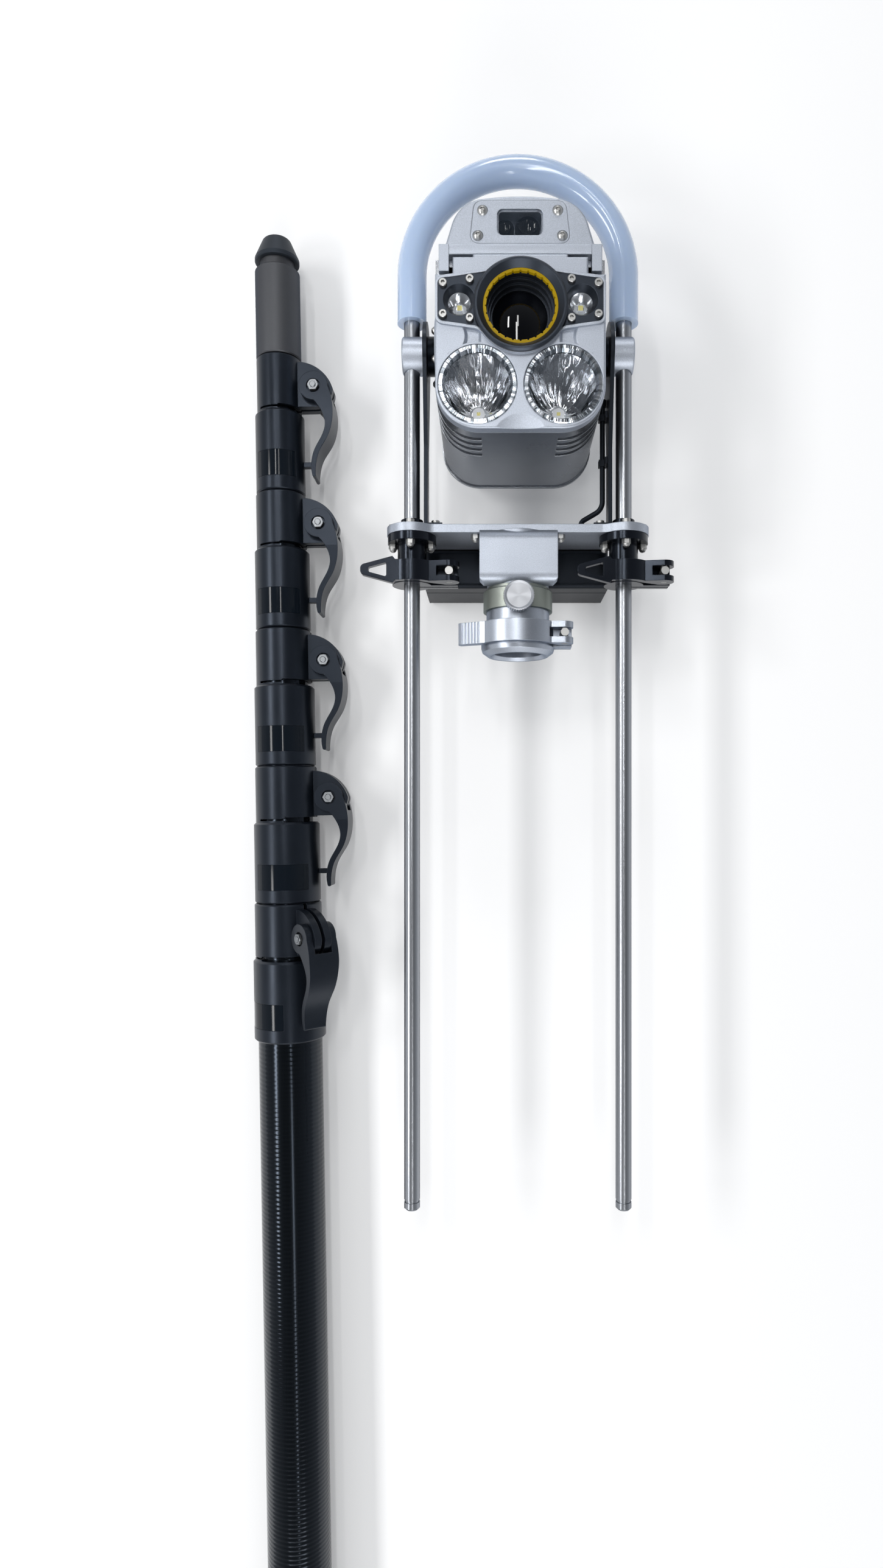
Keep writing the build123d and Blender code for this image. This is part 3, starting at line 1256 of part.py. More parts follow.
def pole_collar(k):
    """Moulded collar: split clamp ring above, barrel bonded to the outer tube below."""
    ring = ring_radius(k)
    barrel = barrel_radius(k)
    waist = -RING_H - SLOT_H
    edge = COLLAR_EDGE
    body = turned_y([(0, 0), (ring - edge, 0), (ring, -edge), (ring, waist), (barrel, waist - RING_STEP),
                     (barrel, edge - COLLAR_H), (barrel - edge, -COLLAR_H), (0, -COLLAR_H)])
    body += extrude(lug_face(k), amount=LUG_HALF, both=True)
    grip = tube_od(k) / 2 + MOVE_GAP
    body -= bar_y(grip, -COLLAR_H, 1)
    body -= bar_y(tube_od(k + 1) / 2, -COLLAR_H - 1, waist - TUBE_SEAT)
    body -= extrude(slot_face(k), amount=2 * barrel, both=True)
    far = bolt_x(k) + LOBE_R + 1
    body -= block((0, far), (waist, 1), (-LUG_SPLIT / 2, LUG_SPLIT / 2))
    body -= bar_z(BOLT_R + RUN_CLEAR, -2 * LUG_HALF, 2 * LUG_HALF, bolt_x(k), -BOLT_DROP)
    body -= label_recess(k)
    reach = bolt_x(k) - LEVER_SAG - MOVE_GAP
    low = -BOLT_DROP - CATCH_DROP
    catch = block((barrel - 1.0, reach), (low - CATCH_H / 2, low + CATCH_H / 2), (-CATCH_W / 2, CATCH_W / 2))
    return body + catch


def lever_face():
    """Side view of a pole lever about its bolt: hub, bulging arm and drawn-in tip."""
    hub = LEVER_HUB_R
    tip_out = LEVER_TIP_OUT
    tip_in = LEVER_TIP_OUT - LEVER_TIP_T
    outer = Spline((hub, 0), *LEVER_OUTER, (tip_out, -LEVER_TIP))
    tip = ThreePointArc((tip_out, -LEVER_TIP), ((tip_out + tip_in) / 2, -LEVER_TIP - LEVER_TIP_ROUND),
                        (tip_in, -LEVER_TIP))
    inner = Spline((tip_in, -LEVER_TIP), *LEVER_INNER, (0, -hub))
    back = Polyline((0, -hub), (0, 0), (hub, 0))
    return make_face([outer, tip, inner, back]) + Circle(hub)


def pole_lever(k):
    """Cam lever: a fork over the lugs and a broad arm that narrows to its tip."""
    lever = extrude(lever_face(), amount=LEVER_HALF, both=True)
    half = LEVER_TIP_W / 2
    end = -LEVER_TIP - LEVER_TIP_ROUND
    taper = outline((LEVER_HUB_R, -LEVER_HALF), (LEVER_HUB_R, LEVER_HALF), (-FORK_R, LEVER_HALF),
                    (end, half), (end, -half), (-FORK_R, -LEVER_HALF))
    lever &= side_prism(taper, -THROUGH, THROUGH)
    fork = LUG_HALF + MOVE_GAP
    lever -= bar_z(FORK_R, -fork, fork)
    lever -= bar_z(BOLT_R + RUN_CLEAR, -THROUGH, THROUGH)
    sink = BOLT_HEX / 2 + HEX_CLEAR
    lever -= bar_z(sink, LEVER_HALF - HEX_SINK, LEVER_HALF + 1)
    lever -= bar_z(sink, -LEVER_HALF - 1, HEX_SINK - LEVER_HALF)
    return Pos(bolt_x(k), -BOLT_DROP, 0) * lever


def lever_bolt(k):
    """Bolt through the lugs and the fork with a round edged nut at each end."""
    inside = LEVER_HALF - HEX_SINK + MOVE_GAP
    far = inside + BOLT_HEX_H
    rim = BOLT_HEX / 2
    nut = hex_prism_z(BOLT_HEX, inside, far)
    nut &= turned_z([(0, inside), (2 * rim, inside), (2 * rim, far - rim / 2), (rim, far), (0, far)])
    bolt = bar_z(BOLT_R, -far - BOLT_END, far + BOLT_END)
    bolt = chamfer(bolt.edges().filter_by(GeomType.CIRCLE), BOLT_END / 2)
    return Pos(bolt_x(k), -BOLT_DROP, 0) * (bolt + nut + mirror(nut, Plane.XY))


def collar_place(k):
    turn = LAST_COLLAR_TURN if k == SECTIONS - 1 else 0.0
    return Pos(0, collar_top(k), 0) * Rot(0, -turn, 0)


# Pole adapter and tip

def pole_adapter():
    top = ADAPTER_GAP + ADAPTER_L
    edge = ADAPTER_EDGE
    body = turned_y([(0, ADAPTER_GAP), (ADAPTER_R - edge, ADAPTER_GAP), (ADAPTER_R, ADAPTER_GAP + edge),
                     (ADAPTER_R, top - edge), (ADAPTER_R - edge, top), (TIP_NECK_R, top),
                     (TIP_NECK_R, top + TIP_NECK_H), (0, top + TIP_NECK_H)])
    return body - bar_y(tube_od(1) / 2, 0, ADAPTER_GAP + ADAPTER_SEAT)


def pole_tip():
    low = ADAPTER_GAP + ADAPTER_L + TIP_NECK_H
    lip = ADAPTER_R - SEAT_CLEAR
    tip = turned_y([(0, low), (lip - TIP_EDGE, low), (lip, low + TIP_EDGE), (lip, low + TIP_LIP_H),
                    (TIP_TOP_R, low + TIP_H), (0, low + TIP_H)])
    return fillet(tip.edges().filter_by(GeomType.CIRCLE).sort_by(Axis.Y)[-1], TIP_ROUND)


POLE_Z = barrel_radius(SECTIONS - 1)
POLE_PLACE = Pos(POLE_X, POLE_TOP, POLE_Z) * Rot(0, 0, POLE_YAW)


def pole_nodes():
    """Every piece of the pole, placed beside the head."""
    nodes = {}
    for section in range(1, SECTIONS + 1):
        name = "main_tube" if section == SECTIONS else f"section_{section}_tube"
        nodes[name] = [POLE_PLACE * piece for piece in pole_tube(section)]
    for k in range(1, SECTIONS):
        place = POLE_PLACE * collar_place(k)
        nodes[f"collar_{k}"] = [place * pole_collar(k)]
        nodes[f"collar_{k}_lever"] = [place * pole_lever(k)]
        nodes[f"collar_{k}_bolt"] = [place * lever_bolt(k)]
    nodes["pole_adapter"] = [POLE_PLACE * pole_adapter()]
    nodes["pole_tip"] = [POLE_PLACE * pole_tip()]
    nodes["pole_foot"] = [POLE_PLACE * pole_foot()]
    return nodes


def camera_nodes():
    """Every piece of the head, the yoke, the socket and the leg frame."""
    rods = rod_places()
    windows = [place * spot_window() for place in spot_places()] + [finder_window()]
    clamp_pins = [place * clamp_bolt() for place in rods]
    return {
        "heat_sink_body": [heat_sink_body()],
        "front_plate": [front_plate()],
        "rear_cover": [rear_cover()],
        "range_finder_housing": [finder_housing()],
        "range_finder_cover": [finder_lid()],
        "range_finder_lenses": finder_lenses(),
        "head_windows": windows,
        "head_screws": head_screws(),
        "lens_bezel": [lens_bezel()],
        "lens_seal_ring": [seal_ring()],
        "zoom_lens_barrel": [lens_barrel()],
        "zoom_lens_glass": [lens_glass()],
        "zoom_camera_core": [camera_core()],
        "spot_bezels": [place * spot_bezel() for place in spot_places()],
        "lamp_reflectors": lamp_reflectors(),
        "lamp_leds": lamp_leds(),
        "pivot_hubs": both_sides(pivot_hub()),
        "tilt_motor": [tilt_motor()],
        "yoke_arms": both_sides(yoke_arm()),
        "rod_guides": both_sides(rod_guide()),
        "cross_plate": [cross_plate()],
        "battery_box": [battery_box()],
        "adapter_block": [adapter_block()],
        "swivel_spigot": [swivel_spigot()],
        "rod_clamps": [place * rod_clamp() for place in rods],
        "yoke_fasteners": flange_fasteners() + clamp_pins,
        "head_cable": head_cable(),
        "leg_rods": [leg_rods()],
        "bumper_sleeve": [bumper_sleeve()],
        "left_rod_lever": [rods[0] * rod_lever()],
        "right_rod_lever": [rods[1] * rod_lever()],
        "swivel_collar": [swivel_collar()],
        "pole_socket": [pole_socket()],
        "socket_bolt": [socket_bolt()],
        "socket_lever": [socket_lever()],
        "swivel_knob": [swivel_knob()],
    }


def solids_of(pieces):
    return [solid for piece in pieces for solid in piece.solids()]


drawn = {**camera_nodes(), **pole_nodes()}
layout = Compound([solid for pieces in drawn.values() for solid in solids_of(pieces)])
box = layout.bounding_box()
SHIFT = Pos(-box.center().X, -box.center().Y, -box.min.Z)

for name, pieces in drawn.items():
    placed = [SHIFT * solid for solid in solids_of(pieces)]
    export_step(Compound(placed) if len(placed) > 1 else placed[0], f"parts/{name}.step")
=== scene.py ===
"""Looks of a pole inspection camera that lies face up beside its collapsed carbon pole."""

import json
import math

import bmesh
import bpy
from mathutils import Matrix, Vector


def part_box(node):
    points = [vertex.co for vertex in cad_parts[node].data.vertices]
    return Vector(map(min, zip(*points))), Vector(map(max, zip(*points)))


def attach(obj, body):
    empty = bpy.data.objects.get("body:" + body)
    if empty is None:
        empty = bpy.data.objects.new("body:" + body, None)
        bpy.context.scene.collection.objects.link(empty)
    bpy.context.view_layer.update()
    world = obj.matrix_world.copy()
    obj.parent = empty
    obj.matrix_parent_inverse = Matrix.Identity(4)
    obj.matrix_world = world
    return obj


bl_info = {
    "name": "Pole inspection camera",
    "version": (1, 0, 0),
    "blender": (4, 5, 0),
    "location": "View3D > Sidebar > Inspection",
    "description": "Finishes and small pieces of a pole inspection camera",
    "category": "Object",
}

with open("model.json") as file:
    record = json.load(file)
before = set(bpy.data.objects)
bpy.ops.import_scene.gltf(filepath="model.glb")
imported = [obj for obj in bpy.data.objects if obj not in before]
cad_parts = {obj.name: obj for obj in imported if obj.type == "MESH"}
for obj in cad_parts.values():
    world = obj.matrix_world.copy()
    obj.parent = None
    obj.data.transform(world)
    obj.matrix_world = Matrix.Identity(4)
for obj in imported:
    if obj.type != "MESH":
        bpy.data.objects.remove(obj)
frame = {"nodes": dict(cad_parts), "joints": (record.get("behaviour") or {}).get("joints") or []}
NODES = frame["nodes"]
JOINTS = {joint["name"]: joint for joint in frame["joints"]}
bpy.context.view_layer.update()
MM = 0.001

# The pole's own frame: its first collar's top, found from that collar's bolt
FIRST_BOLT = (30.45 * MM, -26.0 * MM, 0.0)
POLE_LEAN = math.radians(1.0)
POLE_PLACE = (Matrix.Translation(JOINTS["pole_lever_1_swing"]["pos_m"])
              @ Matrix.Rotation(POLE_LEAN, 4, "Z")
              @ Matrix.Translation([-c for c in FIRST_BOLT]))
TILT_AXIS = Vector(JOINTS["head_tilt"]["pos_m"])
COLLARS = range(1, 6)
LAST_COLLAR = COLLARS[-1]

# Small sizes of the made pieces
FILM_THICK = 0.28 * MM
FILM_SUNK = 0.08 * MM
FILM_STEPS = 28
SILL_EDGE = 0.6 * MM
SHARP_ANGLE = math.radians(40)

# How a length shows in the sidebar
LENGTH = {"unit": "LENGTH", "precision": 4}

# A wave texture at scale 1 repeats after this length
WAVE_BAND = 0.314

# The floor's half width and how far it lies below the object, in metres
FLOOR_HALF = 12.0
FLOOR_DROP = 0.5 * MM
# The lamps reach only its middle, so its white is lifted more with the distance from there
LIFT_FROM, LIFT_TO = 1.0, 5.0
LIFT_NEAR, LIFT_FAR = 0.12, 0.7

# Pale walls round the horizon and a dimmer ceiling
WALL_STRENGTH, CEILING_STRENGTH = 0.7, 0.1

# Ceiling tubes in line with the pole, a pair tipped in from the left, a far lamp and a low window:
# name, place and size in metres, watts, tip and roll in degrees
LAMPS = (
    ("tube_over_head", (-0.08, 0.72, 2.0), (0.09, 1.0), 5.5, 0, 0),
    ("tube_ahead", (-0.02, 1.32, 2.0), (0.09, 0.68), 2.4, 0, 0),
    ("tube_middle", (-0.55, 1.30, 2.0), (0.09, 0.68), 5.0, 0, 0),
    ("tube_left", (-2.00, 0.90, 2.0), (0.35, 1.2), 20.0, 0, -45),
    ("tube_left_low", (-2.00, -0.60, 2.0), (0.35, 1.2), 20.0, 0, -45),
    ("tube_low", (0.30, -0.90, 2.0), (0.09, 1.2), 3.6, 0, 0),
    ("tube_far", (0.0, 4.2, 1.9), (0.8, 0.8), 30.0, -65, 0),
    ("window", (0.10, -3.0, 1.6), (2.6, 1.2), 48.0, 67, 0),
)


def linear(hex_colour):
    """Turns an sRGB hex colour into linear RGBA."""
    values = [int(hex_colour[i:i + 2], 16) / 255 for i in (1, 3, 5)]
    return [v / 12.92 if v <= 0.04045 else ((v + 0.055) / 1.055) ** 2.4 for v in values] + [1.0]


def shade(colour, factor):
    """A linear colour made darker or paler."""
    return [min(c * factor, 1) for c in colour[:3]] + [1]


def add_node(tree, kind, inputs=None, into=None, **settings):
    """Adds a shader node, sets it, fills or links its inputs, and links its outputs on."""
    made = tree.nodes.new(kind)
    for name, value in settings.items():
        setattr(made, name, value)
    for name, value in (inputs or {}).items():
        if isinstance(value, bpy.types.NodeSocket):
            tree.links.new(value, made.inputs[name])
        else:
            made.inputs[name].default_value = value
    for name, socket in (into or {}).items():
        tree.links.new(made.outputs[name], socket)
    return made


def new_material(name, **surface):
    """A material with one principled surface; gives the material, its tree and that surface."""
    material = bpy.data.materials.new(name)
    material.use_nodes = True
    tree = material.node_tree
    shader = tree.nodes["Principled BSDF"]
    for socket, value in surface.items():
        shader.inputs[socket.replace("_", " ")].default_value = value
    return material, tree, shader


def object_coords(tree, scale=(1, 1, 1), centre=(0, 0, 0)):
    """Object coordinates, in metres, stretched about a centre."""
    coords = add_node(tree, "ShaderNodeTexCoord")
    moved = add_node(tree, "ShaderNodeMapping", {
        "Vector": coords.outputs["Object"], "Location": [-c for c in centre]})
    return add_node(tree, "ShaderNodeMapping", {
        "Vector": moved.outputs["Vector"], "Scale": scale}).outputs["Vector"]


def blasted_metal(name, hex_colour, grain_mm, roughness, edge_mm=0.4, contrast=0.12, metallic=0.85,
                  rim="#9AA2AE"):
    """Bead blasted, anodised aluminium: fine even grain that breaks up every reflection, and
    edges the blasting has rounded. The real grit is about 0.1 mm; it is drawn coarser to show."""
    material, tree, shader = new_material(name, Metallic=metallic, Specular_Tint=linear(rim))
    vector = object_coords(tree)
    grain = add_node(tree, "ShaderNodeTexNoise", {
        "Vector": vector, "Scale": 1 / (grain_mm * MM), "Detail": 3.0, "Roughness": 0.6})
    patches = add_node(tree, "ShaderNodeTexNoise", {
        "Vector": vector, "Scale": 1 / (24 * MM), "Detail": 2.0})
    base = linear(hex_colour)
    add_node(tree, "ShaderNodeMix", {
        "Factor": grain.outputs["Fac"], "A": shade(base, 1 - contrast), "B": shade(base, 1 + contrast)},
        into={"Result": shader.inputs["Base Color"]}, data_type="RGBA")
    add_node(tree, "ShaderNodeMapRange", {
        "Value": patches.outputs["Fac"], "To Min": roughness - 0.05, "To Max": roughness + 0.05},
        into={"Result": shader.inputs["Roughness"]})
    edge = add_node(tree, "ShaderNodeBevel", {"Radius": edge_mm * MM}, samples=4)
    add_node(tree, "ShaderNodeBump", {
        "Height": grain.outputs["Fac"], "Strength": 0.5, "Distance": 0.08 * MM,
        "Normal": edge.outputs["Normal"]}, into={"Normal": shader.inputs["Normal"]})
    return material


def textured_black(name, hex_colour, grain_mm, roughness, strength, specular=0.3, edge_mm=0.4):
    """Black moulding or coating: a fine spark texture, drawn coarser than the real 0.1 mm to
    show, under a soft or semi gloss skin that handling has worn in patches."""
    material, tree, shader = new_material(name, Specular_IOR_Level=specular,
                                          Specular_Tint=linear("#D6E4FA"))
    vector = object_coords(tree)
    grain = add_node(tree, "ShaderNodeTexNoise", {
        "Vector": vector, "Scale": 1 / (grain_mm * MM), "Detail": 2.0})
    wear = add_node(tree, "ShaderNodeTexNoise", {
        "Vector": vector, "Scale": 1 / (30 * MM), "Detail": 4.0})
    base = linear(hex_colour)
    add_node(tree, "ShaderNodeMix", {
        "Factor": wear.outputs["Fac"], "A": shade(base, 0.8), "B": shade(base, 1.25)},
        into={"Result": shader.inputs["Base Color"]}, data_type="RGBA")
    add_node(tree, "ShaderNodeMapRange", {
        "Value": wear.outputs["Fac"], "To Min": roughness - 0.06, "To Max": roughness + 0.06},
        into={"Result": shader.inputs["Roughness"]})
    edge = add_node(tree, "ShaderNodeBevel", {"Radius": edge_mm * MM}, samples=4)
    add_node(tree, "ShaderNodeBump", {
        "Height": grain.outputs["Fac"], "Strength": strength, "Distance": 0.06 * MM,
        "Normal": edge.outputs["Normal"]}, into={"Normal": shader.inputs["Normal"]})
    return material


def drawn_steel(name, hex_colour, roughness, along):
    """Steel polished or drawn along its length: lines in one direction, which are finer than a
    tenth of a millimetre and are drawn 0.5 mm wide to show."""
    material, tree, shader = new_material(name, Metallic=1.0, Base_Color=linear(hex_colour),
                                          Specular_Tint=linear("#6A6E74"))
    stretch = [1 / (0.5 * MM)] * 3
    stretch["XYZ".index(along)] = 1 / (90 * MM)
    lines = add_node(tree, "ShaderNodeTexNoise", {
        "Vector": object_coords(tree, stretch), "Scale": 1.0, "Detail": 3.0})
    add_node(tree, "ShaderNodeMapRange", {
        "Value": lines.outputs["Fac"], "To Min": roughness - 0.03, "To Max": roughness + 0.03},
        into={"Result": shader.inputs["Roughness"]})
    return material


def plain_gloss(name, hex_colour, roughness, **surface):
    """A smooth skin with faint smears in its gloss, as handled plastic and glass have."""
    material, tree, shader = new_material(name, Base_Color=linear(hex_colour), **surface)
    smear = add_node(tree, "ShaderNodeTexNoise", {
        "Vector": object_coords(tree), "Scale": 1 / (12 * MM), "Detail": 3.0})
    add_node(tree, "ShaderNodeMapRange", {
        "Value": smear.outputs["Fac"], "To Min": roughness * 0.7, "To Max": roughness * 1.3},
        into={"Result": shader.inputs["Roughness"]})
    return material


def dress(material, *names):
    """Gives CAD nodes their finish."""
    for name in names:
        for slot in NODES[name].material_slots:
            slot.material = material


def mesh_piece(name, shape, body, material):
    """Makes a finished bmesh an object that rides on a body."""
    bmesh.ops.remove_doubles(shape, verts=shape.verts, dist=1e-6)
    bmesh.ops.recalc_face_normals(shape, faces=shape.faces)
    mesh = bpy.data.meshes.new(name)
    shape.to_mesh(mesh)
    shape.free()
    piece = bpy.data.objects.new(name, mesh)
    bpy.context.scene.collection.objects.link(piece)
    mesh.materials.append(material)
    for polygon in mesh.polygons:
        polygon.use_smooth = True
    edges = piece.modifiers.new("edges", "EDGE_SPLIT")
    edges.split_angle = SHARP_ANGLE
    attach(piece, body)


class PoleLooks(bpy.types.PropertyGroup):
    """Sizes and colours of the pole."""

    carbon: bpy.props.StringProperty(name="Carbon", description="Resin colour", default="#07090B")
    ridge: bpy.props.FloatProperty(
        name="Wrap ridge", description="Pitch of the ridges the wrapping tape left",
        default=3.6 * MM, **LENGTH)
    moulding: bpy.props.StringProperty(
        name="Moulding", description="Collars and levers", default="#10141A")
    film: bpy.props.StringProperty(
        name="Film", description="Clear film round each collar", default="#10161D")
    adapter: bpy.props.StringProperty(
        name="Adapter", description="Anodised adapter", default="#58595C")
    barrel_r: bpy.props.FloatProperty(
        name="First barrel", description="Radius of the first collar's barrel",
        default=20.0 * MM, **LENGTH)
    barrel_step: bpy.props.FloatProperty(
        name="Barrel step", description="How much each next barrel is larger in radius",
        default=2.25 * MM, **LENGTH)
    collar_pitch: bpy.props.FloatProperty(
        name="Collar pitch", description="From collar to collar", default=112.5 * MM, **LENGTH)
    film_drop: bpy.props.FloatProperty(
        name="Film drop", description="From the collar's top to the film's top",
        default=80.2 * MM, **LENGTH)
    film_height: bpy.props.FloatProperty(
        name="Film height", description="Along the pole", default=20.6 * MM, **LENGTH)
    film_arc: bpy.props.FloatProperty(
        name="Film arc", description="Round the barrel", default=math.radians(99.0), subtype="ANGLE")
    last_turn: bpy.props.FloatProperty(
        name="Last collar's turn", description="Its lever's lift off the floor",
        default=math.radians(48.0), subtype="ANGLE")


class HeadLooks(bpy.types.PropertyGroup):
    """Sizes and colours of the camera head."""

    silver: bpy.props.StringProperty(
        name="Silver", description="Blasted aluminium", default="#B4BAC4")
    satin: bpy.props.StringProperty(
        name="Satin", description="Smoother aluminium", default="#AEB1B6")
    bezel: bpy.props.StringProperty(
        name="Bezel", description="Black anodised bezel", default="#111419")
    seal: bpy.props.StringProperty(name="Seal", description="Scalloped seal ring", default="#A28500")
    glass: bpy.props.StringProperty(name="Lens", description="Coated lens glass", default="#05060A")
    chrome: bpy.props.StringProperty(name="Chrome", description="Reflectors", default="#E9EBEE")
    phosphor: bpy.props.StringProperty(name="Phosphor", description="Light chips", default="#EEE48E")
    sill_span: bpy.props.FloatProperty(
        name="Sill span", description="Range finder's sill from ear to ear",
        default=99.0 * MM, **LENGTH)
    sill_above: bpy.props.FloatProperty(
        name="Sill above", description="Sill's lower side above the tilt axis",
        default=37.2 * MM, **LENGTH)
    sill_width: bpy.props.FloatProperty(
        name="Sill width", description="Sill's width", default=6.8 * MM, **LENGTH)
    sill_front: bpy.props.FloatProperty(
        name="Sill front", description="Sill's front from the tilt axis", default=69.0 * MM, **LENGTH)
    sill_depth: bpy.props.FloatProperty(
        name="Sill depth", description="Sill's depth", default=9.5 * MM, **LENGTH)
    flange_out: bpy.props.FloatProperty(
        name="Hub flange", description="Flange's outer face from the head's middle",
        default=62.6 * MM, **LENGTH)
    chip_floor: bpy.props.FloatProperty(
        name="Chip floor", description="Height above which a light chip is phosphor",
        default=111.4 * MM, **LENGTH)
    clear_alpha: bpy.props.FloatProperty(
        name="Clear pane", description="How much a lamp's window hides",
        default=0.03, min=0.0, max=1.0, subtype="FACTOR")
    smoked_alpha: bpy.props.FloatProperty(
        name="Smoked pane", description="How much the range finder's window hides",
        default=0.15, min=0.0, max=1.0, subtype="FACTOR")
    spot_x: bpy.props.FloatProperty(
        name="Lamp beside", description="Spot lamp's axis from the head's middle",
        default=29.7 * MM, **LENGTH)
    spot_drop: bpy.props.FloatProperty(
        name="Lamp drop", description="Spot lamp's axis below the tilt axis",
        default=53.1 * MM, **LENGTH)
    dimples: bpy.props.FloatProperty(
        name="Dimples", description="Reflector's dimples for each radian round it", default=4.2)
    dimple_length: bpy.props.FloatProperty(
        name="Dimple length", description="Length of a dimple down the bowl",
        default=13.5 * MM, **LENGTH)


class YokeLooks(bpy.types.PropertyGroup):
    """Colours of the yoke, the socket and the leg frame."""

    casting: bpy.props.StringProperty(
        name="Casting", description="Clamps and levers", default="#0C0E13")
    arm: bpy.props.StringProperty(name="Arms", description="Black arms", default="#0F1217")
    box: bpy.props.StringProperty(name="Battery box", description="Moulded box", default="#0B0D10")
    rod: bpy.props.StringProperty(name="Rod", description="Polished rods", default="#A6A9AE")
    steel: bpy.props.StringProperty(name="Steel", description="Screws and bolts", default="#BDBDBB")
    sleeve: bpy.props.StringProperty(name="Sleeve", description="Silicone bumper", default="#AFC2DD")
    swivel: bpy.props.StringProperty(
        name="Swivel", description="Grey green swivel", default="#9DA29A")


class StageLooks(bpy.types.PropertyGroup):
    """Camera, floor and light."""

    height: bpy.props.FloatProperty(
        name="Camera height", description="Above the floor", default=0.790, **LENGTH)
    lens: bpy.props.FloatProperty(
        name="Lens", description="Focal length", default=20.963, unit="CAMERA")
    beside: bpy.props.FloatProperty(
        name="Beside", description="Camera from the head's middle", default=-0.0188, **LENGTH)
    below: bpy.props.FloatProperty(
        name="Below", description="Camera from the head's tilt axis", default=-0.346, **LENGTH)
    shift: bpy.props.FloatVectorProperty(
        name="Shift", description="Where the picture was cut from its frame", size=2,
        default=(-0.0330, 0.0155))
    floor: bpy.props.StringProperty(name="Floor", description="Pale floor", default="#F2F2F2")


class INSPECT_OT_tubes(bpy.types.Operator):
    """Wrapped carbon tubes"""

    bl_idname = "inspect.tubes"
    bl_label = "Carbon tubes"

    def execute(self, context):
        looks = context.scene.pole_looks
        # Wrapped carbon, glossy resin: the cured tape leaves rings that bead every highlight. The
        # strands, a few hundredths of a millimetre, are drawn 0.6 mm wide to show
        carbon, tree, shader = new_material("wrapped_carbon", Specular_IOR_Level=0.35, Roughness=0.16,
                                            Specular_Tint=linear("#CBDCF4"))
        rings = add_node(tree, "ShaderNodeTexWave", {
            "Vector": object_coords(tree), "Scale": WAVE_BAND / looks.ridge, "Distortion": 0.6,
            "Detail": 1.0, "Detail Scale": 1.0},
            wave_type="BANDS", bands_direction="Y", wave_profile="SIN")
        across, along = 1 / (0.6 * MM), 1 / (40 * MM)
        strands = add_node(tree, "ShaderNodeTexNoise", {
            "Vector": object_coords(tree, (across, along, across)), "Scale": 1.0, "Detail": 2.0})
        base = linear(looks.carbon)
        add_node(tree, "ShaderNodeMix", {
            "Factor": strands.outputs["Fac"], "A": shade(base, 0.6), "B": shade(base, 1.6)},
            into={"Result": shader.inputs["Base Color"]}, data_type="RGBA")
        add_node(tree, "ShaderNodeBump", {
            "Height": rings.outputs["Fac"], "Strength": 0.45, "Distance": 0.2 * MM},
            into={"Normal": shader.inputs["Normal"]})
        dress(carbon, "main_tube", *[f"section_{k}_tube" for k in COLLARS])
        return {"FINISHED"}


class INSPECT_OT_collars(bpy.types.Operator):
    """Moulded collars, levers and their bolts"""

    bl_idname = "inspect.collars"
    bl_label = "Collars and levers"

    def execute(self, context):
        looks = context.scene.pole_looks
        # Moulded glass filled nylon: blue black, with the room's light in one soft band
        moulding = textured_black("glass_filled_nylon", looks.moulding, 0.8, 0.32, 0.15, 0.40, edge_mm=0.6)
        # Zinc plated steel: a dull grey that dims the lamps it mirrors
        bolt = drawn_steel("zinc_plated_bolt", "#94979A", 0.42, "Z")
        for k in COLLARS:
            dress(moulding, f"collar_{k}", f"collar_{k}_lever")
            dress(bolt, f"collar_{k}_bolt")
        return {"FINISHED"}


class INSPECT_OT_films(bpy.types.Operator):
    """Glossy film in each collar's recess"""

    bl_idname = "inspect.films"
    bl_label = "Collar films"

    def execute(self, context):
        looks = context.scene.pole_looks
        # Clear-coated polyester film: a mirror-smooth black that shows only the lamps
        film = plain_gloss("polyester_film", looks.film, 0.09, Specular_IOR_Level=0.2)
        for k in COLLARS:
            last = k == LAST_COLLAR
            shape = self.film_shape(looks, k)
            turn = looks.last_turn if last else 0.0
            bmesh.ops.transform(shape, matrix=POLE_PLACE @ Matrix.Rotation(-turn, 4, "Y"), verts=shape.verts)
            body = "pole_base" if last else f"pole_section_{k + 1}"
            mesh_piece(f"collar_film_{k}", shape, body, film)
        return {"FINISHED"}

    def film_shape(self, looks, k):
        """The film's section, spun round the pole to its arc."""
        outer = looks.barrel_r + (k - 1) * looks.barrel_step - FILM_SUNK
        inner = outer - FILM_THICK
        top = -looks.film_drop - (k - 1) * looks.collar_pitch
        low = top - looks.film_height
        shape = bmesh.new()
        corners = [(inner, top), (outer, top), (outer, low), (inner, low)]
        face = shape.faces.new([shape.verts.new((x, y, 0)) for x, y in corners])
        start = Matrix.Rotation(math.pi / 2 - looks.film_arc / 2, 4, "Y").inverted()
        bmesh.ops.transform(shape, matrix=start, verts=shape.verts)
        bmesh.ops.spin(shape, geom=[face] + list(face.edges) + list(face.verts), angle=looks.film_arc,
                       steps=FILM_STEPS, axis=(0, -1, 0), cent=(0, 0, 0), dvec=(0, 0, 0))
        return shape


class INSPECT_OT_pole_head(bpy.types.Operator):
    """Adapter, conical tip and foot of the pole"""

    bl_idname = "inspect.pole_head"
    bl_label = "Adapter, tip and foot"

    def execute(self, context):
        looks = context.scene.pole_looks
        # Aluminium, blasted and anodised grey: a flat mid grey with hardly a highlight
        dress(blasted_metal("grey_anodised_adapter", looks.adapter, 0.5, 0.52), "pole_adapter")
        # Moulded rubber: a matt black that light only greys
        dress(textured_black("moulded_rubber", "#24282D", 0.9, 0.5, 0.1), "pole_tip", "pole_foot")
        return {"FINISHED"}


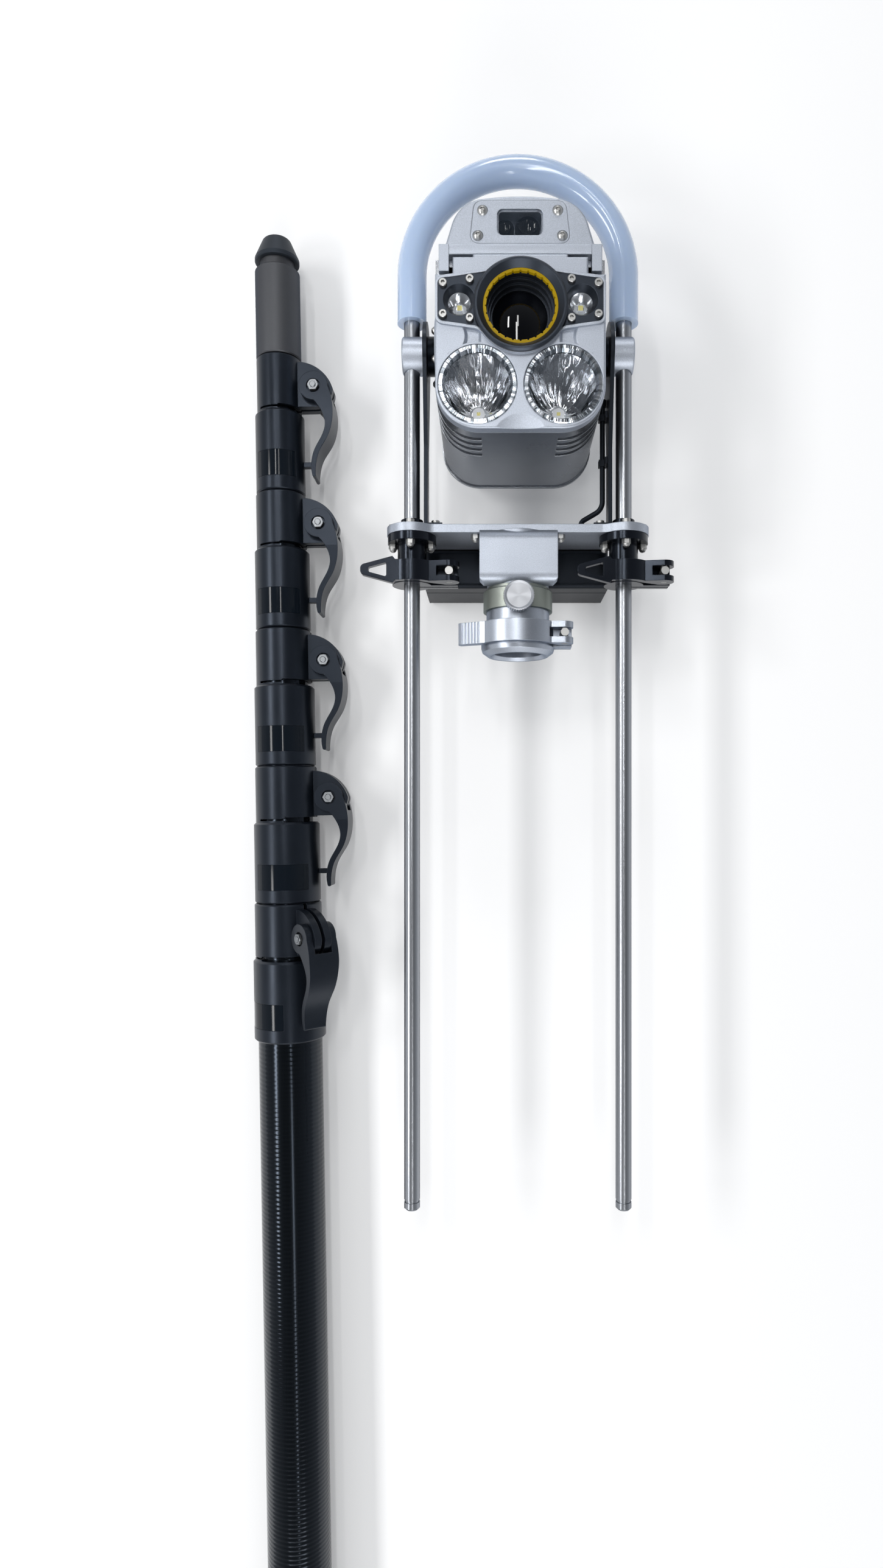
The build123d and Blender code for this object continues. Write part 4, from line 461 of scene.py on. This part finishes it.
class INSPECT_OT_castings(bpy.types.Operator):
    """Blasted aluminium castings of the head and the yoke"""

    bl_idname = "inspect.castings"
    bl_label = "Head castings"

    def execute(self, context):
        looks = context.scene.head_looks
        # Aluminium, blasted and clear anodised: pale, with a sparkling grain and no mirror image
        silver = blasted_metal("blasted_silver_anodised", looks.silver, 0.55, 0.45, edge_mm=0.9,
                               contrast=0.4)
        dress(silver, "front_plate", "range_finder_housing", "range_finder_cover", "rod_guides",
              "adapter_block", "cross_plate")
        # The finned body is blasted finer: walls and ceiling run down it as one soft gradient
        satin = blasted_metal("satin_silver_anodised", looks.satin, 0.4, 0.26, edge_mm=0.6, metallic=1.0,
                              rim="#9A9B9D")
        dress(satin, "heat_sink_body", "rear_cover")
        # The socket is turned, then blasted: soft bands of light round it
        turned = blasted_metal("turned_silver_anodised", looks.silver, 0.4, 0.36, edge_mm=0.6,
                               contrast=0.3, metallic=1.0)
        dress(turned, "pole_socket", "socket_lever")
        self.dress_hubs(looks)
        self.add_sill(looks, silver)
        return {"FINISHED"}

    def add_sill(self, looks, silver):
        """A bar from ear to ear; the gap below it is the dark seam over the front plate."""
        middle = TILT_AXIS + Vector((
            0, looks.sill_above + looks.sill_width / 2, looks.sill_front - looks.sill_depth / 2))
        size = Vector((looks.sill_span, looks.sill_width, looks.sill_depth))
        shape = bmesh.new()
        bmesh.ops.create_cube(shape, size=1.0,
                              matrix=Matrix.Translation(middle) @ Matrix.Diagonal(size).to_4x4())
        front = [edge for edge in shape.edges
                 if min(v.co.z for v in edge.verts) > middle.z
                 and abs(edge.verts[0].co.x - edge.verts[1].co.x) > size.x / 2]
        bmesh.ops.bevel(shape, geom=front, offset=SILL_EDGE, segments=4, profile=0.5,
                        affect="EDGES", material=-1)
        mesh_piece("range_finder_sill", shape, "camera_head", silver)

    def dress_hubs(self, looks):
        # Turned aluminium: a silver flange on the head, and past it painted shade: the hub is painted black
        # in the gap to the arm
        hub, tree, shader = new_material("turned_aluminium_hub", Metallic=1.0, Roughness=0.4)
        place = add_node(tree, "ShaderNodeSeparateXYZ", {"Vector": object_coords(tree, centre=TILT_AXIS)})
        beside = add_node(tree, "ShaderNodeMath", {0: place.outputs["X"]}, operation="ABSOLUTE")
        # Painted shade: beyond the flange's outer face the hub takes the bezel's black
        shoulder = add_node(tree, "ShaderNodeMath", {
            0: beside.outputs["Value"], 1: looks.flange_out}, operation="GREATER_THAN")
        add_node(tree, "ShaderNodeMix", {
            "Factor": shoulder.outputs["Value"], "A": linear(looks.silver), "B": linear(looks.bezel)},
            into={"Result": shader.inputs["Base Color"]}, data_type="RGBA")
        dress(hub, "pivot_hubs")


class INSPECT_OT_lens(bpy.types.Operator):
    """Bezel, seal, barrel and glass of the zoom lens"""

    bl_idname = "inspect.lens"
    bl_label = "Lens"

    def execute(self, context):
        looks = context.scene.head_looks
        # Black anodised aluminium: blue black, with a broad pale sheen on the ring's slope
        dress(textured_black("black_anodised_bezel", looks.bezel, 0.5, 0.34, 0.25, 0.7), "lens_bezel")
        # Black anodised steps: dark, each edge a thin pale ring
        dress(textured_black("anodised_lens_barrel", "#0C0E11", 0.5, 0.34, 0.1, 0.5),
              "zoom_lens_barrel", "zoom_camera_core")
        # Moulded rubber dyed through: a deep yellow with little gloss
        dress(plain_gloss("moulded_yellow_seal", looks.seal, 0.3, Specular_IOR_Level=0.15),
              "lens_seal_ring")
        # Coated glass: near black, with the ceiling's tubes sharp in it
        dress(plain_gloss("coated_lens_glass", looks.glass, 0.02, Specular_IOR_Level=0.45),
              "zoom_lens_glass", "range_finder_lenses")
        return {"FINISHED"}


class INSPECT_OT_lamps(bpy.types.Operator):
    """Reflectors, windows, bezels and light chips"""

    bl_idname = "inspect.lamps"
    bl_label = "Lamps"

    def execute(self, context):
        looks = context.scene.head_looks
        self.dress_reflectors(looks)
        self.dress_rings(looks)
        self.dress_windows(looks)
        self.dress_chips(looks)
        return {"FINISHED"}

    def dress_reflectors(self, looks):
        # Vacuum metallised plastic: a mirror whose shallow dimples, longer down the bowl than round
        # it, draw every lamp out into streaks
        mirror, tree, shader = new_material("metallised_reflector", Metallic=1.0,
                                            Base_Color=linear(looks.chrome))
        # The small lamps' cups, level with the tilt axis, have a satin plating
        level = add_node(tree, "ShaderNodeSeparateXYZ", {"Vector": object_coords(tree, centre=TILT_AXIS)})
        add_node(tree, "ShaderNodeMapRange", {
            "Value": level.outputs["Y"], "From Min": -25 * MM, "From Max": -20 * MM,
            "To Min": 0.07, "To Max": 0.16}, into={"Result": shader.inputs["Roughness"]})
        around, down = self.bowl_coords(tree, looks)
        over_bowl = add_node(tree, "ShaderNodeVectorMath", {0: around, 1: down}, operation="ADD")
        dimples = add_node(tree, "ShaderNodeTexNoise", {
            "Vector": over_bowl.outputs["Vector"], "Scale": 1.0, "Detail": 0.0})
        add_node(tree, "ShaderNodeBump", {
            "Height": dimples.outputs["Fac"], "Strength": 1.0, "Distance": 0.85 * MM},
            into={"Normal": shader.inputs["Normal"]})
        dress(mirror, "lamp_reflectors")

    def dress_rings(self, looks):
        # Clear moulded rim with a plated back: painted reflections, bright and dark dashes in its colour,
        # all the way round
        ring, tree, shader = new_material("plated_lamp_ring", Metallic=1.0, Roughness=0.16)
        around, _ = self.bowl_coords(tree, looks)
        dashes = add_node(tree, "ShaderNodeTexNoise", {"Vector": around, "Scale": 2.0, "Detail": 3.0})
        # Painted reflection: the noise picks a pale or a dark grey for each dash
        dash = add_node(tree, "ShaderNodeMapRange", {
            "Value": dashes.outputs["Fac"], "From Min": 0.42, "From Max": 0.58})
        add_node(tree, "ShaderNodeMix", {
            "Factor": dash.outputs["Result"], "A": linear("#7C8288"), "B": linear("#C4C8CE")},
            into={"Result": shader.inputs["Base Color"]}, data_type="RGBA")
        add_node(tree, "ShaderNodeBump", {
            "Height": dashes.outputs["Fac"], "Strength": 0.5, "Distance": 0.6 * MM},
            into={"Normal": shader.inputs["Normal"]})
        dress(ring, "spot_bezels")

    def dress_windows(self, looks):
        # Clear polycarbonate over the lamps, seen by its reflections alone, and a smoked pane over
        # the range finder, whose blue grey is partly its smoke tint and partly a painted sheen
        # Painted sheen: the base colour is lightened to the blue grey of a lamp seen in the pane
        pane, tree, shader = new_material("polycarbonate_window", Base_Color=linear("#39434F"),
                                          Roughness=0.03, Specular_IOR_Level=0.6)
        place = add_node(tree, "ShaderNodeSeparateXYZ", {"Vector": object_coords(tree, centre=TILT_AXIS)})
        add_node(tree, "ShaderNodeMapRange", {
            "Value": place.outputs["Y"], "From Min": 0.0, "From Max": 1 * MM,
            "To Min": looks.clear_alpha, "To Max": looks.smoked_alpha},
            into={"Result": shader.inputs["Alpha"]})
        dress(pane, "head_windows")

    def dress_chips(self, looks):
        # White ceramic with a phosphor chip on it: the chip's top, above the base, is yellow
        led, tree, shader = new_material("led_on_ceramic", Roughness=0.4)
        coords = add_node(tree, "ShaderNodeTexCoord")
        place = add_node(tree, "ShaderNodeSeparateXYZ", {"Vector": coords.outputs["Object"]})
        facing = add_node(tree, "ShaderNodeSeparateXYZ", {"Vector": coords.outputs["Normal"]})
        chip = add_node(tree, "ShaderNodeMath", {
            0: place.outputs["Z"], 1: looks.chip_floor}, operation="GREATER_THAN")
        top = add_node(tree, "ShaderNodeMath", {
            0: facing.outputs["Z"], 1: chip.outputs["Value"]}, operation="MULTIPLY", use_clamp=True)
        add_node(tree, "ShaderNodeMix", {
            "Factor": top.outputs["Value"], "A": linear("#F4F6F8"), "B": linear(looks.phosphor)},
            into={"Result": shader.inputs["Base Color"]}, data_type="RGBA")
        dress(led, "lamp_leds")

    def bowl_coords(self, tree, looks):
        """Direction round a spot lamp's axis, and depth, both counted in dimples."""
        axis = (TILT_AXIS.x, TILT_AXIS.y - looks.spot_drop, 0)
        place = add_node(tree, "ShaderNodeSeparateXYZ", {"Vector": object_coords(tree, centre=axis)})
        beside = add_node(tree, "ShaderNodeMath", {0: place.outputs["X"]}, operation="ABSOLUTE")
        offset = add_node(tree, "ShaderNodeMath", {
            0: beside.outputs["Value"], 1: looks.spot_x}, operation="SUBTRACT")
        flat = add_node(tree, "ShaderNodeCombineXYZ", {
            "X": offset.outputs["Value"], "Y": place.outputs["Y"]})
        unit = add_node(tree, "ShaderNodeVectorMath", {0: flat.outputs["Vector"]}, operation="NORMALIZE")
        turns = add_node(tree, "ShaderNodeVectorMath", {
            0: unit.outputs["Vector"], "Scale": looks.dimples}, operation="SCALE")
        depth = add_node(tree, "ShaderNodeMath", {
            0: place.outputs["Z"], 1: 1 / looks.dimple_length}, operation="MULTIPLY")
        down = add_node(tree, "ShaderNodeCombineXYZ", {"Z": depth.outputs["Value"]})
        return turns.outputs["Vector"], down.outputs["Vector"]


class INSPECT_OT_yoke(bpy.types.Operator):
    """Arms, battery box, clamps, levers and cable"""

    bl_idname = "inspect.yoke"
    bl_label = "Yoke"

    def execute(self, context):
        looks = context.scene.yoke_looks
        # Powder coated steel: an even black, slightly pebbled
        dress(textured_black("powder_coated_arms", looks.arm, 0.6, 0.36, 0.12), "yoke_arms")
        # Moulded ABS: a flat black with a fine texture
        dress(textured_black("moulded_abs_box", looks.box, 0.8, 0.4, 0.12, 0.22), "battery_box")
        # Enamelled casting: a glossy black whose rounded edges catch the lamps
        dress(textured_black("enamelled_casting", looks.casting, 0.9, 0.2, 0.06, 0.34, edge_mm=0.7),
              "rod_clamps", "left_rod_lever", "right_rod_lever")
        # Extruded PVC: a dull black
        dress(textured_black("cable_jacket", "#0E1013", 0.8, 0.5, 0.12), "head_cable")
        # Aluminium, blasted and anodised grey green: the plates' grain under a tint
        dress(blasted_metal("grey_green_anodised", looks.swivel, 0.5, 0.42),
              "swivel_spigot", "swivel_collar")
        return {"FINISHED"}


class INSPECT_OT_metalwork(bpy.types.Operator):
    """Rods, screws, nuts, motor and the spun knob"""

    bl_idname = "inspect.metalwork"
    bl_label = "Rods and screws"

    def execute(self, context):
        looks = context.scene.yoke_looks
        # Polished stainless rod: one long bright line between darker sides
        dress(drawn_steel("polished_steel_rod", looks.rod, 0.31, "Y"), "leg_rods")
        # Stainless cap and button screws: small bright heads
        dress(drawn_steel("stainless_screws", looks.steel, 0.34, "Z"), "head_screws", "tilt_motor")
        # Turned steel: a frosted grey that doesn't flare
        dress(drawn_steel("turned_steel_bolts", looks.steel, 0.46, "Z"), "yoke_fasteners", "socket_bolt")
        self.dress_knob()
        return {"FINISHED"}

    def dress_knob(self):
        # Aluminium faced on a lathe: light fans out over it. Its rings are too fine to see and are
        # drawn 0.5 mm apart
        spun, tree, shader = new_material("spun_aluminium", Metallic=1.0, Roughness=0.5,
                                          Base_Color=linear("#C4C6CA"), Anisotropic=0.8)
        low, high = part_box("swivel_knob")
        rings = add_node(tree, "ShaderNodeTexWave", {
            "Vector": object_coords(tree, centre=(low + high) / 2), "Scale": WAVE_BAND / (0.5 * MM),
            "Distortion": 0.0}, wave_type="RINGS", rings_direction="Z")
        add_node(tree, "ShaderNodeBump", {
            "Height": rings.outputs["Fac"], "Strength": 0.2, "Distance": 0.05 * MM},
            into={"Normal": shader.inputs["Normal"]})
        add_node(tree, "ShaderNodeTangent", into={"Tangent": shader.inputs["Tangent"]},
                 direction_type="RADIAL", axis="Z")
        dress(spun, "swivel_knob")


class INSPECT_OT_sleeve(bpy.types.Operator):
    """Silicone bumper over the bow"""

    bl_idname = "inspect.sleeve"
    bl_label = "Bumper sleeve"

    def execute(self, context):
        looks = context.scene.yoke_looks
        # Extruded silicone: milky, so light wanders inside it, under a smooth skin with thin highlights
        dress(plain_gloss("silicone_tube", looks.sleeve, 0.2, Coat_Weight=0.8, Coat_Roughness=0.1,
                          Subsurface_Weight=0.5, Subsurface_Scale=3 * MM,
                          Subsurface_Radius=(1.0, 1.0, 1.2), IOR=1.41), "bumper_sleeve")
        return {"FINISHED"}


class INSPECT_OT_stage(bpy.types.Operator):
    """Camera, floor and light"""

    bl_idname = "inspect.stage"
    bl_label = "Stage"

    def execute(self, context):
        looks = context.scene.stage_looks
        scene = context.scene
        scene.view_settings.view_transform = "Standard"
        camera = bpy.data.objects.new("camera", bpy.data.cameras.new("camera"))
        scene.collection.objects.link(camera)
        camera.data.lens = looks.lens
        camera.data.sensor_width = 36.0
        camera.data.shift_x, camera.data.shift_y = looks.shift
        camera.location = (TILT_AXIS.x + looks.beside, TILT_AXIS.y + looks.below, looks.height)
        scene.camera = camera
        self.make_floor(scene, looks)
        self.make_room(scene)
        self.hang_lamps(scene)
        return {"FINISHED"}

    def make_floor(self, scene, looks):
        shape = bmesh.new()
        bmesh.ops.create_grid(shape, x_segments=1, y_segments=1, size=FLOOR_HALF)
        mesh = bpy.data.meshes.new("floor")
        shape.to_mesh(mesh)
        shape.free()
        floor = bpy.data.objects.new("floor", mesh)
        floor.location.z = -FLOOR_DROP
        scene.collection.objects.link(floor)
        # Matt paper: an even pale ground, lifted to white where the camera or a mirror sees it
        paper, tree, shader = new_material("paper_floor", Base_Color=linear(looks.floor), Roughness=0.9,
                                           Emission_Color=(1, 1, 1, 1))
        path = add_node(tree, "ShaderNodeLightPath")
        seen = add_node(tree, "ShaderNodeMath", {
            0: path.outputs["Is Camera Ray"], 1: path.outputs["Is Glossy Ray"]}, operation="MAXIMUM")
        through = add_node(tree, "ShaderNodeMath", {
            0: seen.outputs["Value"], 1: path.outputs["Is Transmission Ray"]}, operation="MAXIMUM")
        reach = add_node(tree, "ShaderNodeVectorMath", {0: object_coords(tree)}, operation="LENGTH")
        pale = add_node(tree, "ShaderNodeMapRange", {
            "Value": reach.outputs["Value"], "From Min": LIFT_FROM, "From Max": LIFT_TO,
            "To Min": LIFT_NEAR, "To Max": LIFT_FAR}, interpolation_type="SMOOTHSTEP")
        add_node(tree, "ShaderNodeMath", {
            0: through.outputs["Value"], 1: pale.outputs["Result"]},
            into={"Value": shader.inputs["Emission Strength"]}, operation="MULTIPLY")
        mesh.materials.append(paper)

    def make_room(self, scene):
        world = bpy.data.worlds.new("soft_room")
        world.use_nodes = True
        scene.world = world
        tree = world.node_tree
        background = tree.nodes["Background"]
        background.inputs["Color"].default_value = linear("#EDF1F7")
        direction = add_node(tree, "ShaderNodeTexCoord")
        up = add_node(tree, "ShaderNodeSeparateXYZ", {"Vector": direction.outputs["Generated"]})
        add_node(tree, "ShaderNodeMapRange", {
            "Value": up.outputs["Z"], "To Min": WALL_STRENGTH, "To Max": CEILING_STRENGTH},
            into={"Result": background.inputs["Strength"]})

    def hang_lamps(self, scene):
        for name, place, size, watts, tip, roll in LAMPS:
            lamp = bpy.data.lights.new(name, "AREA")
            lamp.shape = "RECTANGLE"
            lamp.energy = watts
            lamp.size, lamp.size_y = size
            holder = bpy.data.objects.new(name, lamp)
            holder.location = place
            holder.rotation_euler = (math.radians(tip), math.radians(roll), 0)
            scene.collection.objects.link(holder)


PIECES = (
    INSPECT_OT_tubes,
    INSPECT_OT_collars,
    INSPECT_OT_films,
    INSPECT_OT_pole_head,
    INSPECT_OT_castings,
    INSPECT_OT_lens,
    INSPECT_OT_lamps,
    INSPECT_OT_yoke,
    INSPECT_OT_metalwork,
    INSPECT_OT_sleeve,
    INSPECT_OT_stage,
)
GROUPS = {
    "pole_looks": PoleLooks,
    "head_looks": HeadLooks,
    "yoke_looks": YokeLooks,
    "stage_looks": StageLooks,
}


class INSPECT_PT_panel(bpy.types.Panel):
    """Lists the pieces and their settings"""

    bl_idname = "INSPECT_PT_panel"
    bl_label = "Inspection camera"
    bl_space_type = "VIEW_3D"
    bl_region_type = "UI"
    bl_category = "Inspection"

    def draw(self, context):
        for operator in PIECES:
            self.layout.operator(operator.bl_idname)
        for name, group in GROUPS.items():
            box = self.layout.box()
            for setting in group.__annotations__:
                box.prop(getattr(context.scene, name), setting)


def register():
    for group in GROUPS.values():
        bpy.utils.register_class(group)
    for name, group in GROUPS.items():
        setattr(bpy.types.Scene, name, bpy.props.PointerProperty(type=group))
    for operator in PIECES:
        bpy.utils.register_class(operator)
    bpy.utils.register_class(INSPECT_PT_panel)


def unregister():
    bpy.utils.unregister_class(INSPECT_PT_panel)
    for operator in reversed(PIECES):
        bpy.utils.unregister_class(operator)
    for name, group in GROUPS.items():
        delattr(bpy.types.Scene, name)
        bpy.utils.unregister_class(group)


def main():
    register()
    for operator in PIECES:
        group, name = operator.bl_idname.split(".")
        getattr(getattr(bpy.ops, group), name)()


if __name__ == "__main__":
    main()
